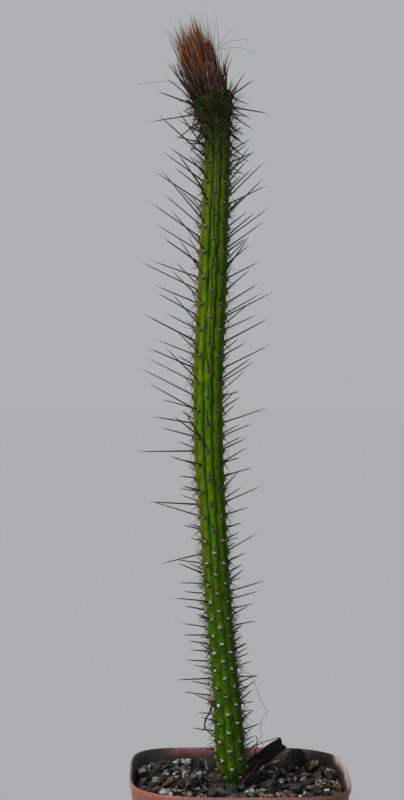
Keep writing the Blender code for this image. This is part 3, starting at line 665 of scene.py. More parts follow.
class SpineSettings(bpy.types.PropertyGroup):
    central_radius: size("Central spine radius", "Radius of a central spine near its root", 0.00031)
    radial_radius: size("Radial spine radius", "Radius of a radial spine near its root", 0.00011)
    radials: IntProperty(name="Radials", description="Radial spines round each areole", default=9, min=0)
    dark: colour("Dark horn", "Brown-black of most spines", "1C1412")
    grey: colour("Grey horn", "Weathered grey of some spines", "5E534D")
    tan: colour("Tan horn", "Tan of the young radial spines on the head", "8A6450")
    dun: colour("Dun horn", "Brown of the older radial spines", "665040")
    brown: colour("Brown horn", "Darker brown of the radial spines' roots", "3E2C20")
    felt: colour("Felt", "Whitish wool of the lower areoles", "E6E8E0")
    old_felt: colour("Grey felt", "Greyer wool of the upper areoles", "837E82")
    # Partly painted shade: this colour darkens each pad towards its low edge, and is partly the brown felt and
    # spine bases there
    felt_shade: colour("Felt shade", "Brown-grey under side of the wool", "2C2824")


class CrownSettings(bpy.types.PropertyGroup):
    bristles: IntProperty(name="Bristles", description="Bristles in the crown", default=720, min=0)
    radius: size("Bristle radius", "Radius of a bristle near its root", 0.00020)
    rust: colour("Rust", "Rust orange of the bristles' upper half", "9E5822")
    umber: colour("Umber", "Dark maroon brown of the bristle feet", "643C31")
    tip: colour("Tip", "Grey-brown of the bristles' last few millimetres", "A68670")
    # Partly painted shade: this colour darkens the bristles on the side away from the key light, and is some
    # strands' own colour too
    dark_hair_and_shade: colour("Soot", "Dark grey-brown of the shaded side's bristles", "40362F")
    # Partly painted highlight: the pale hairs at the crown's foot also stand for glints on its dark strands
    pale: colour("Pale hair", "Tan of a few fine hairs", "8E7260")


class ScrapSettings(bpy.types.PropertyGroup):
    bark: colour("Bark", "Damp blackish bark", "2C261D")
    slag: colour("Slag", "Black furnace slag", "0F0F11")
    bud: colour("Dry bud", "Rusty brown papery remains of a flower", "A8663C")
    wool: colour("Flower wool", "Pale wool on the dried flower", "E4D6CE")
    filament: colour("Dry filament", "Black shrivelled filament", "1C1714")
    root: colour("Rootlet", "Tan dried rootlets and threads", "8A7762")


class StageSettings(bpy.types.PropertyGroup):
    floor: colour("Floor", "Pale matt floor", "C6C7C7")
    air: colour("Surround", "Pale grey surround that fills the shadows", "AEB2B3")
    overhead: colour("Overhead", "Darker surround overhead", "505456")
    key_strength: FloatProperty(
        name="Key light", description="Strength of the soft key light", default=2.2, min=0
    )


class CactusSettings(bpy.types.PropertyGroup):
    pot: PointerProperty(type=PotSettings)
    grit: PointerProperty(type=GritSettings)
    stem: PointerProperty(type=StemSettings)
    spines: PointerProperty(type=SpineSettings)
    crown: PointerProperty(type=CrownSettings)
    scraps: PointerProperty(type=ScrapSettings)
    stage: PointerProperty(type=StageSettings)


def pot_plastic(look):
    """Injection-moulded polypropylene: satin, chalked outside by the sun, with algae and silt inside, and with
    painted shade and painted light.
    """
    made, shader, add = new_material("moulded_polypropylene", Roughness=0.5, IOR=1.49)
    place = add("TexCoord", {}, "Object")
    x, z = (add("SeparateXYZ", {0: place}, axis) for axis in "XZ")
    inside = add("Attribute", {}, "Fac", attribute_name="inside")
    # Film and fading wander over patches about 15 mm across
    patches = add("TexNoise", {"Vector": place, "Scale": 65, "Detail": 5, "Roughness": 0.6})
    # Scuffs and drips run down the wall, about 1 mm apart
    stretched = add("Mapping", {"Vector": place, "Scale": (1, 1, 0.12)})
    scuffs = add("TexNoise", {"Vector": stretched, "Scale": 900, "Detail": 3, "Roughness": 0.7})
    # Dried silt spots the inner wall, about 3 mm apart
    spots = add("TexNoise", {"Vector": place, "Scale": 330, "Detail": 4, "Roughness": 0.7})
    spotted = add("MapRange", {"Value": spots, "From Min": 0.48, "From Max": 0.66, "To Max": 0.65})

    def ragged(axis, start, end):
        """A share that climbs from start to end along an axis, its edge pushed about by the patches."""
        spread = (end - start) * 0.9
        pushed = add("Math", {0: patches, 1: spread, 2: axis}, operation="MULTIPLY_ADD")
        climb = {"Value": pushed, "From Min": start + spread / 2, "From Max": end + spread / 2}
        return add("MapRange", climb, interpolation_type="SMOOTHSTEP")

    # Pale dust lies on the lip at both sides
    lip = ragged(z, 0.0795, 0.0830)
    # The greyed plastic at the right is partly painted shade, darker on the side away from the key light
    outer_films = [(ragged(x, -0.040, -0.005), look.faded), (ragged(x, 0.005, 0.040), look.greyed)]
    for side in (-1, 1):
        dust = {0: ragged(x, side * 0.0400, side * 0.0432), 1: lip}
        outer_films.append((add("Math", dust, operation="MULTIPLY"), look.dusty))
    # Painted shade and light inside: the near-black at the back right is partly painted shade, and the pale
    # mauve at the right is partly painted light
    inner_films = [(ragged(x, 0.016, 0.026), look.film_and_painted_shade), (ragged(x, 0.0395, 0.0412), look.mauve)]
    inner_films += [(ragged(z, 0.0848, 0.0808), look.silt), (spotted, look.silt)]
    inner_films += [(ragged(x, -0.024, -0.034), look.algae)]
    walls = []
    for shade, films in ((look.fresh, outer_films), (look.rosy, inner_films)):
        for share, film in films:
            shade = add("Mix", {SHARE: share, UNDER: shade, OVER: film}, **COLOUR_MIX)
        walls.append(shade)
    both = add("Mix", {SHARE: inside, UNDER: walls[0], OVER: walls[1]}, **COLOUR_MIX)
    wear = {"Value": scuffs, "From Min": 0.3, "From Max": 0.7, "To Min": 0.72, "To Max": 1.18}
    worn = add("MapRange", wear)
    shade = add("VectorMath", {0: both, 1: worn}, operation="MULTIPLY")
    bump = add("Bump", {"Height": scuffs, "Strength": 0.25, "Distance": 0.0002})
    fill(shader, {"Base Color": shade, "Normal": bump})
    return made


class CACTUS_OT_pot(bpy.types.Operator):
    """Moulds the thin rounded-square pot with its lip and drain holes"""

    bl_idname = "cactus.pot"
    bl_label = "Pot"

    def execute(self, context):
        look = context.scene.cactus.pot
        lip_foot = POT_HEIGHT - LIP_HEIGHT
        lip_half = POT_RIM_HALF + LIP_STANDS_OUT
        sides = [i / WALL_RINGS * lip_foot for i in range(1, WALL_RINGS)]
        outer = [(0, 0), (0, POT_BASE_HALF * 0.5), (0, POT_BASE_HALF - BASE_ROUND)]
        outer += [(0.0005, POT_BASE_HALF - 0.0006), (0.0016, pot_half_width(0.0016))]
        outer += [(height, pot_half_width(height)) for height in sides]
        outer += [(lip_foot - 0.0005, pot_half_width(lip_foot)), (lip_foot - 0.0001, lip_half - 0.0002)]
        outer += [(lip_foot + 0.0003, lip_half), (POT_HEIGHT - 0.0005, lip_half)]
        outer += [(POT_HEIGHT - 0.0001, lip_half - 0.0002)]
        inner = [(POT_HEIGHT, lip_half - 0.0005), (POT_HEIGHT - 0.0002, lip_half - 0.0009)]
        inner += [(POT_HEIGHT - 0.0004, lip_half - 0.0010), (lip_foot, pot_half_width(lip_foot) - POT_WALL)]
        inner += [(height, pot_half_width(height) - POT_WALL) for height in reversed(sides)]
        inner += [(0.0028, pot_half_width(0.0028) - POT_WALL), (0.0015, POT_BASE_HALF - 0.0022)]
        inner += [(POT_WALL, POT_BASE_HALF - 0.0035), (POT_WALL, POT_BASE_HALF * 0.5), (POT_WALL, 0)]
        profile = outer + inner

        def place(ring, turn):
            height, half = profile[ring]
            point = squircle(turn) * half + Vector((0, 0, height))
            # The rim's narrow top is pale in front, and at the back it takes the inside's colours, with their
            # stains, painted shade and painted light
            inside_share = ease(-0.010, 0.020, point.y) if abs(ring - len(outer)) < 2 else float(ring > len(outer))
            return point, inside_share

        bm = loft(look.segments, len(profile), place, marks=("inside",))
        pot = add_piece("pot_shell", bm, pot_plastic(look), "pot", sharp=40)
        drill = bmesh.new()
        for x, y in ((-1, -1), (-1, 1), (1, -1), (1, 1)):
            spot = Matrix.Translation((x * DRAIN_OFFSET, y * DRAIN_OFFSET, 0))
            shaft = {"radius1": DRAIN_RADIUS, "radius2": DRAIN_RADIUS, "depth": DRILL_DEPTH}
            bmesh.ops.create_cone(drill, cap_ends=True, segments=DRAIN_SIDES, matrix=spot, **shaft)
        cutter = bpy.data.objects.new("drill", as_mesh("drill", drill))
        context.scene.collection.objects.link(cutter)
        holes = pot.modifiers.new("drain holes", "BOOLEAN")
        holes.object = cutter
        holes.operation = "DIFFERENCE"
        context.view_layer.update()
        context.view_layer.objects.active = pot
        bpy.ops.object.modifier_apply(modifier=holes.name)
        bpy.data.objects.remove(cutter)
        return {"FINISHED"}


def stone_material(name, light, dark, grain_mm, contrast, roughness, relief_mm):
    """Crushed stone: rough, each chip of its own tone, with grains as specks and dirt in its cracks."""
    made, shader, add = new_material(name, Roughness=roughness, IOR=1.52)
    place = add("TexCoord", {}, "Object")
    own = add("NewGeometry", {}, "Random Per Island")
    # Grains are drawn at their real size, at least 0.8 mm so that they show
    grains = add("TexNoise", {"Vector": place, "Scale": 1000 / grain_mm, "Detail": 5, "Roughness": 0.75})
    speckle = add("MapRange", {"Value": grains, "From Min": 0.43, "From Max": 0.62})
    tone = add("MapRange", {"Value": own, "To Min": -0.5 * contrast, "To Max": 0.5 * contrast})
    share = add("Math", {0: speckle, 1: tone}, operation="ADD", use_clamp=True)
    shade = add("Mix", {SHARE: share, UNDER: linear(dark), OVER: light}, **COLOUR_MIX)
    # Dirt sits in cracks about 3 mm apart
    cracks = add("TexVoronoi", {"Vector": place, "Scale": 330}, "Distance", feature="DISTANCE_TO_EDGE")
    clean = add("MapRange", {"Value": cracks, "From Max": 0.14, "To Min": 0.12})
    shade = add("VectorMath", {0: shade, 1: clean}, operation="MULTIPLY")
    relief = relief_mm / 1000
    cracked = add("Bump", {"Height": clean, "Strength": 0.6, "Distance": relief})
    grainy = add("Bump", {"Height": grains, "Strength": 0.9, "Distance": relief, "Normal": cracked})
    fill(shader, {"Base Color": shade, "Normal": grainy})
    return made


def stone_finishes(look):
    return {
        # Cleaved slate: fine grained, dull, blue-black
        "slate": stone_material("crushed_slate", look.slate, "08090B", 1.2, 0.9, 0.6, 0.2),
        # Crushed gneiss: grey with dark and light crystals
        "gneiss": stone_material("crushed_gneiss", look.gneiss, "161714", 0.9, 0.9, 0.75, 0.3),
        # Vein quartz: milky, with a glint on its faces
        "quartz": stone_material("vein_quartz", look.quartz, "7C7A76", 1.0, 0.5, 0.5, 0.25),
        # Iron-stained sandstone: ochre to rust
        "sandstone": stone_material("iron_sandstone", look.sandstone, "26170E", 1.0, 0.9, 0.85, 0.3),
        # Crumbly limestone: cream and tan, pitted
        "limestone": stone_material("crumbly_limestone", look.limestone, "2C241A", 1.1, 0.9, 0.9, 0.4),
        # Lichened stone: grey-green mottling over a dark body
        "mossy_stone": stone_material("lichened_stone", look.moss, "161A15", 1.6, 0.4, 0.9, 0.4),
        # Weathered wood chips: grey-brown, dry
        "wood_chip": stone_material("weathered_wood_chip", look.wood, "1E1712", 0.8, 0.8, 0.85, 0.3),
    }


def stone_shapes(kind, draw):
    """A few rough broken lumps of unit half length for one kind of stone."""
    shapes = []
    for i in range(STONE_SHAPES):
        bm = bmesh.new()
        for _ in range(kind.corners):
            corner = Vector((draw.gauss(0, 1), draw.gauss(0, 1), draw.gauss(0, 1))).normalized()
            corner *= draw.uniform(0.8, 1.08)
            bmesh.ops.create_vert(bm, co=(corner.x * kind.long, corner.y * kind.wide, corner.z * kind.flat))
        hull = bmesh.ops.convex_hull(bm, input=bm.verts)
        loose = hull["geom_interior"] + hull["geom_unused"]
        spare = {item for item in loose if isinstance(item, bmesh.types.BMVert)}
        bmesh.ops.delete(bm, geom=list(spare), context="VERTS")
        bmesh.ops.subdivide_edges(bm, edges=bm.edges[:], cuts=1, use_grid_fill=True)
        for vert in bm.verts:
            vert.co *= draw.uniform(0.91, 1.05)
        bmesh.ops.recalc_face_normals(bm, faces=bm.faces)
        shapes.append(as_mesh("stone %d" % i, bm))
    return shapes


def bed_height(x, y):
    """The uneven top of the fines under the stones, dipped round the stem's foot."""
    foot = stem_centre(GRIT_TOP)
    dip = 1 - ease(0.004, 0.012, math.hypot(x - foot.x, y - foot.y))
    return GRIT_TOP - FINES_SUNK + BED_ROUGH * noise.noise((x * 110, y * 110, 0)) - BED_DIP * dip


def stone_room(x, y, radius):
    """Whether a stone of that radius clears the pot's wall, the stem, the bark and the chunk."""
    wall = inner_half_width(GRIT_TOP) - radius * 0.8
    angle = math.atan2(y, x)
    if math.hypot(x, y) > squircle(angle).length * wall:
        return False
    foot = stem_centre(GRIT_TOP)
    if math.hypot(x - foot.x, y - foot.y) < STEM_ROOM + radius * 0.8:
        return False
    place = Vector((x, y, GRIT_TOP))
    if distance_to_segment(place, BARK_LOW, BARK_HIGH) < BARK_ROOM + radius * 0.7:
        return False
    return (place - CHUNK_PLACE).xy.length > CHUNK_HALF.y * 0.8 + radius * 0.6


def scatter_stones(look):
    """Lays the noted stones, then the drawn ones, large to small, and returns the copies for each kind."""
    draw = random.Random(STONE_SEED)
    shapes = {name: stone_shapes(kind, draw) for name, kind in STONE_KINDS.items()}
    copies = {name: [] for name in STONE_KINDS}
    taken = []
    for name, x, y, radius, turn, tip in NOTED_STONES:
        x, y, radius, turn, tip = x / 1000, y / 1000, radius / 1000, math.radians(turn), math.radians(tip)
        way = Matrix.Rotation(turn, 4, "Z") @ Matrix.Rotation(-tip, 4, "Y")
        centre = Vector((x, y, GRIT_TOP + radius * (0.2 + 0.3 * math.sin(tip))))
        matrix = Matrix.Translation(centre) @ way @ Matrix.Scale(radius / STONE_KINDS[name].long, 4)
        copies[name].append((draw.choice(shapes[name]), matrix))
        taken.append((x, y, radius * 1.1))
    names = list(STONE_KINDS)
    shares = [STONE_KINDS[name].share for name in names]
    reach = inner_half_width(GRIT_TOP)
    for i in range(look.stones):
        radius = look.largest + (look.smallest - look.largest) * (i / look.stones) ** 0.8
        for _ in range(STONE_TRIES):
            x, y = draw.uniform(-reach, reach), draw.uniform(-reach, reach)
            crowded = any(math.hypot(x - a, y - b) < (radius + c) * STONE_CROWDING for a, b, c in taken)
            if not crowded and stone_room(x, y, radius):
                break
        else:
            continue
        taken.append((x, y, radius))
        name = draw.choices(names, shares)[0]
        kind = STONE_KINDS[name]
        tip = draw.gauss(0, 24) if name != "wood_chip" else draw.gauss(0, 14)
        turn = Matrix.Rotation(draw.uniform(0, math.tau), 4, "Z")
        turn @= Matrix.Rotation(math.radians(tip), 4, "Y") @ Matrix.Rotation(draw.uniform(-0.6, 0.6), 4, "X")
        centre = Vector((x, y, bed_height(x, y) + radius * kind.flat * draw.uniform(0.1, 1.1) + 0.0005))
        matrix = Matrix.Translation(centre) @ turn @ Matrix.Scale(radius * draw.uniform(0.85, 1.1), 4)
        copies[name].append((draw.choice(shapes[name]), matrix))
    return copies


class CACTUS_OT_grit(bpy.types.Operator):
    """Fills the pot with fines and lays the mixed stones and chips on them"""

    bl_idname = "cactus.grit"
    bl_label = "Grit"

    def execute(self, context):
        look = context.scene.cactus.grit
        sides = [(GRIT_FLOOR, 0.0), (GRIT_FLOOR, 0.94), (GRIT_FLOOR + 0.0016, 1.0)]
        sides += [(height, 1.0) for height in (0.020, 0.040, 0.060, 0.0765)]
        top = [1 - i / BED_RINGS for i in range(BED_RINGS + 1)]

        def place(ring, turn):
            if ring < len(sides):
                height, share = sides[ring]
                return (squircle(turn) * inner_half_width(height) * share + Vector((0, 0, height)),)
            point = squircle(turn) * inner_half_width(GRIT_TOP - FINES_SUNK) * top[ring - len(sides)]
            point.z = bed_height(point.x, point.y)
            return (point,)

        # Potting fines: damp dust and humus, matt and nearly black, which also paints the shade in the gaps
        # between the stones
        fines = stone_material("potting_fines", look.fines, "0D0B09", 1.0, 0.3, 0.95, 0.5)
        bm = loft(120, len(sides) + len(top), place)
        add_piece("grit_bed", bm, fines, "grit", sharp=60)
        finishes = stone_finishes(look)
        for name, copies in scatter_stones(look).items():
            add_piece("grit_" + name, gather(copies), finishes[name], "grit", sharp=28)
        return {"FINISHED"}


def cactus_skin(look):
    """Live cactus skin, thinly waxed: bright crests, one weathered side, and painted shade: deep green in the
    grooves, on the side away from the key light and near the head.
    """
    made, shader, add = new_material("waxy_cactus_skin", Roughness=0.5, IOR=1.42, Specular_IOR_Level=0.07)
    place = add("TexCoord", {}, "Object")
    height = add("SeparateXYZ", {0: place}, "Z")
    deep_green_and_groove_shade, blush, painted_shade = (
        add("Attribute", {}, "Fac", attribute_name=mark) for mark in ("deep_green_and_groove_shade", "blush", "painted_shade")
    )
    # Pale and dark streaks follow the ribs, about 1 mm apart and 8 mm long
    stretched = add("Mapping", {"Vector": place, "Scale": (1, 1, 0.13)})
    streaks = add("TexNoise", {"Vector": stretched, "Scale": 900, "Detail": 3, "Roughness": 0.6})
    # Uneven growth shows as blotches about 5 mm across
    blotches = add("TexNoise", {"Vector": place, "Scale": 200, "Detail": 4, "Roughness": 0.6})
    # Breathing pores roughen the wax, drawn at 0.4 mm so that they show
    pores = add("TexNoise", {"Vector": place, "Scale": 2600, "Detail": 2})
    streaked = add("Math", {0: streaks, 1: 1.5, 2: -0.72}, operation="MULTIPLY_ADD")
    # The deep green is painted shade in the grooves and the creases between areoles, and also lies in streaks
    depth = add("Math", {0: deep_green_and_groove_shade, 1: streaked}, operation="ADD", use_clamp=True)
    patchy = add("MapRange", {"Value": blotches, "From Min": 0.35, "From Max": 0.65, "To Min": 0.15})
    # The stem is greener, and less yellow, towards its foot
    ripe = add("MapRange", {"Value": height, "From Min": 0.140, "From Max": 0.200, "To Min": 0.5})
    yellowed = add("Math", {0: patchy, 1: ripe}, operation="MULTIPLY")
    burnt = add("Math", {0: blush, 1: patchy}, operation="MULTIPLY")
    # Painted shade near the head, under the crown and its dense spines, with some older skin
    crowding = {"Value": height, "From Min": 0.314, "From Max": 0.350}
    crowded = add("MapRange", crowding, interpolation_type="SMOOTHSTEP")
    green = look.fresh
    # The shaded-side colour is painted shade, on the side away from the key light
    layers = [(yellowed, look.crest), (depth, look.deep_green_and_groove_shade), (burnt, look.blush), (painted_shade, look.painted_shade)]
    for share, layer in layers + [(crowded, look.old_skin_and_shade)]:
        green = add("Mix", {SHARE: share, UNDER: green, OVER: layer}, **COLOUR_MIX)
    bump = add("Bump", {"Height": pores, "Strength": 0.5, "Distance": 0.0002})
    deeper = add("Bump", {"Height": streaks, "Strength": 0.7, "Distance": 0.0004, "Normal": bump})
    fill(shader, {"Base Color": green, "Normal": deeper})
    return made


class CACTUS_OT_stem(bpy.types.Operator):
    """Grows the ribbed green column, swollen at its areoles"""

    bl_idname = "cactus.stem"
    bl_label = "Stem"

    def execute(self, context):
        look = context.scene.cactus.stem
        rows = areole_rows()
        count = round((HEAD_TOP - STEM_FOOT) / look.ring_gap)
        rings = []
        for i in range(count + 1):
            height = STEM_FOOT + (HEAD_TOP - STEM_FOOT) * i / count
            beat = math.cos(math.pi * row_number(rows, height))
            ribbed = ease(RIBS_START, RIBS_FULL, height)
            rings.append((stem_centre(height), stem_tilt(height), along(STEM_RADIUS, height), beat, ribbed))

        def place(ring, turn):
            centre, tilt, radius, beat, ribbed = rings[ring]
            number = (turn - rib_angle(0)) / (math.tau / RIBS)
            rib = round(number)
            across = abs(number - rib) * 2
            swell = -beat if rib % 2 == 0 else beat
            young = ease(0.190, 0.140, centre.z)
            edge = 1 + (0.08 + 0.03 * young) * swell * ribbed
            if across > edge:
                across, edge, swell = 2 - across, 2 - edge, -swell
            crest = math.cos(math.pi / 2 * min(across / edge, 1)) ** 0.6
            crease = CREST_DIP * max(-swell, 0) ** 2
            bump = AREOLE_BUMP * max(swell, 0) ** 3 - crease
            reach = radius + ribbed * (bump * crest - GROOVE_DEPTH * (1 - 0.35 * young) * (1 - crest))
            side = spoke(turn)
            # Painted shade: the grooves and the creases between areoles take the deep green, and the low stem
            # takes some of it too
            deep_green_and_groove_shade = ribbed * ((1 - crest) * (1 - 0.55 * young) + 0.22 * young)
            deep_green_and_groove_shade += (0.15 + 0.10 * young) * max(-swell, 0) ** 2 * crest
            blush = ease(0.45, 1.0, -side.x) * (1 - 0.75 * young)
            # Painted shade on the side that faces +X, away from the key light
            return centre + tilt @ (side * reach), deep_green_and_groove_shade, blush, 0.5 * ease(0.0, 1.0, side.x)

        bm = loft(look.columns, len(rings), place, marks=("deep_green_and_groove_shade", "blush", "painted_shade"))
        add_piece("stem_skin", bm, cactus_skin(look), "stem")
        return {"FINISHED"}


def felt_material(look):
    """Areole wool: short matted plant hair, matt, white where young and grey where weathered, and darker
    towards each pad's low edge in painted shade.
    """
    made, shader, add = new_material("areole_wool", Roughness=0.95, IOR=1.4, Sheen_Weight=0.3)
    place = add("TexCoord", {}, "Object")
    height = add("SeparateXYZ", {0: place}, "Z")
    upper = add("Attribute", {}, "Fac", attribute_name="along")
    # Matted strands are drawn 0.35 mm apart so that they show
    strands = add("TexNoise", {"Vector": place, "Scale": 2800, "Detail": 3, "Roughness": 0.7})
    weathered = add("MapRange", {"Value": height, "From Min": 0.150, "From Max": 0.200})
    crowded = add("MapRange", {"Value": height, "From Min": 0.322, "From Max": 0.340})
    wool = look.felt
    for share, layer in ((weathered, look.old_felt), (crowded, look.felt_shade)):
        wool = add("Mix", {SHARE: share, UNDER: wool, OVER: layer}, **COLOUR_MIX)
    own = add("NewGeometry", {}, "Random Per Island")
    tone = add("MapRange", {"Value": own, "To Min": 0.5, "To Max": 1.15})
    wool = add("VectorMath", {0: wool, 1: tone}, operation="MULTIPLY")
    # Painted shade: each pad darkens towards its low edge as if lit from above, which also stands for the
    # brown felt and spine bases there
    raised = add("Math", {0: strands, 1: upper}, operation="ADD")
    lit = add("MapRange", {"Value": raised, "From Min": 0.82, "From Max": 1.14})
    shade = add("Mix", {SHARE: lit, UNDER: look.felt_shade, OVER: wool}, **COLOUR_MIX)
    bump = add("Bump", {"Height": strands, "Strength": 0.9, "Distance": 0.0003})
    fill(shader, {"Base Color": shade, "Normal": bump})
    return made


def horn_material(name, root, tip, weathered, young):
    """Spine horn: hard, with a soft glint. Some spines are weathered grey, the head's are young."""
    made, shader, add = new_material(name, Roughness=0.45, IOR=1.54, Specular_IOR_Level=0.22)
    height = add("SeparateXYZ", {0: add("TexCoord", {}, "Object")}, "Z")
    head = add("MapRange", {"Value": height, "From Min": 0.300, "From Max": 0.335})
    share = add("Attribute", {}, "Fac", attribute_name="along")
    own = add("NewGeometry", {}, "Random Per Island")
    greyed = add("MapRange", {"Value": own, "From Min": 0.6, "From Max": 1.0, "To Max": 0.9})
    tip = add("Mix", {SHARE: head, UNDER: tip, OVER: young}, **COLOUR_MIX)
    length = add("Mix", {SHARE: share, UNDER: root, OVER: tip}, **COLOUR_MIX)
    shade = add("Mix", {SHARE: greyed, UNDER: length, OVER: weathered}, **COLOUR_MIX)
    fill(shader, {"Base Color": shade})
    return made


def felt_shapes(draw):
    """Wool pads, along +Z off the stem and +Y up it, marked 0 at their low edge and 1 at their top edge."""
    shapes = []
    for i in range(PAD_SHAPES):
        bm = bmesh.new()
        upper = bm.verts.layers.float.new("along")
        bmesh.ops.create_uvsphere(bm, u_segments=8, v_segments=6, radius=1)
        for vert in bm.verts:
            vert[upper] = (vert.co.y + 1) / 2
            vert.co *= draw.uniform(0.65, 1.25)
        shapes.append(as_mesh("pad %d" % i, bm))
    return shapes


class CACTUS_OT_areoles(bpy.types.Operator):
    """Sets a felted pad of wool on every areole"""

    bl_idname = "cactus.areoles"
    bl_label = "Areole felt"

    def execute(self, context):
        look = context.scene.cactus.spines
        draw = random.Random(FELT_SEED)
        shapes = felt_shapes(draw)
        copies = []
        for areole in areoles():
            side = areole.up.cross(areole.outward)
            turn = Matrix((side, areole.up, areole.outward)).transposed().to_4x4()
            centre = areole.seat + areole.outward * (AREOLE_BUMP - 0.0001)
            spread = draw.uniform(0.85, 1.1) * (1 - 0.13 * ease(0.150, 0.200, areole.height))
            across, up, out = PAD_HALVES
            sizes = Matrix.Diagonal((across * spread, up * spread, out, 1))
            copies.append((draw.choice(shapes), Matrix.Translation(centre) @ turn @ sizes))
        add_piece("areole_felt", gather(copies), felt_material(look), "stem")
        return {"FINISHED"}


class CACTUS_OT_spines(bpy.types.Operator):
    """Sets the long central spines and the fans of fine radial spines in their areoles"""

    bl_idname = "cactus.spines"
    bl_label = "Spines"

    def execute(self, context):
        look = context.scene.cactus.spines
        draw = random.Random(SPINE_SEED)
        centrals = [
            spine_shape("central", SPINE_UNIT, look.central_radius, STOUT, 5, bend) for bend in CENTRAL_BENDS
        ]
        radials = [
            spine_shape("radial", SPINE_UNIT, look.radial_radius, FINE, 3, bend) for bend in RADIAL_BENDS
        ]
        long_copies, fan_copies = [], []

        def stand(copies, shapes, root, aim, length, thick=1.0):
            roll = draw.uniform(0, math.tau)
            copies.append((draw.choice(shapes), aim_matrix(root, aim, roll, thick, length / SPINE_UNIT)))

        for areole in areoles():
            root = areole.seat - areole.outward * ROOT_SUNK
            stand(long_copies, centrals, root, areole.aim, areole.length, draw.uniform(0.85, 1.1))
            head = ease(0.315, 0.345, areole.height)
            if draw.random() < head:
                aim = aim_from(areole.outward, areole.up, draw.uniform(-50, 5), draw.uniform(-40, 40))
                stand(long_copies, centrals, root, aim, draw.uniform(0.006, 0.011), 0.8)
            count = look.radials + round(5 * head)
            side = areole.up.cross(areole.outward)
            for i in range(count):
                angle = math.tau * (i + draw.uniform(-0.35, 0.35)) / count
                rise = math.radians(draw.uniform(14, 58))
                flat = areole.up * math.cos(angle) + side * math.sin(angle)
                aim = (flat * math.cos(rise) + areole.outward * math.sin(rise)).normalized()
                length = draw.uniform(0.0024, 0.0056) * (1 + 0.6 * head)
                start = areole.seat + areole.outward * 0.0002 + flat * 0.0004
                if clear_of_bark(start, start + aim * length):
                    stand(fan_copies, radials, start, aim, length, draw.uniform(0.8, 1.15) * (1 - 0.2 * head))
        horn = horn_material("central_spine_horn", look.dark, look.dark, look.grey, look.brown)
        add_piece("central_spines", gather(long_copies), horn, "stem")
        horn = horn_material("radial_spine_horn", look.brown, look.dun, look.grey, look.tan)
        add_piece("radial_spines", gather(fan_copies), horn, "stem")
        return {"FINISHED"}


def bristle_material(name, *stops):
    """Crown bristle: stiff plant hair with a slight gloss. Its colours lie a little differently on each."""
    made, shader, add = new_material(name, Roughness=0.5, IOR=1.5, Specular_IOR_Level=0.3)
    own = add("NewGeometry", {}, "Random Per Island")
    share = add("Attribute", {}, "Fac", attribute_name="along")
    shifted = add("Math", {0: own, 1: 0.24, 2: share}, operation="MULTIPLY_ADD")
    centred = add("Math", {0: shifted, 1: 0.12}, operation="SUBTRACT")
    shade = add("ValToRGB", {"Fac": centred}, stops=stops)
    tone = add("MapRange", {"Value": own, "To Min": 0.35, "To Max": 1.55})
    shade = add("VectorMath", {0: shade, 1: tone}, operation="MULTIPLY")
    fill(shader, {"Base Color": shade})
    return made


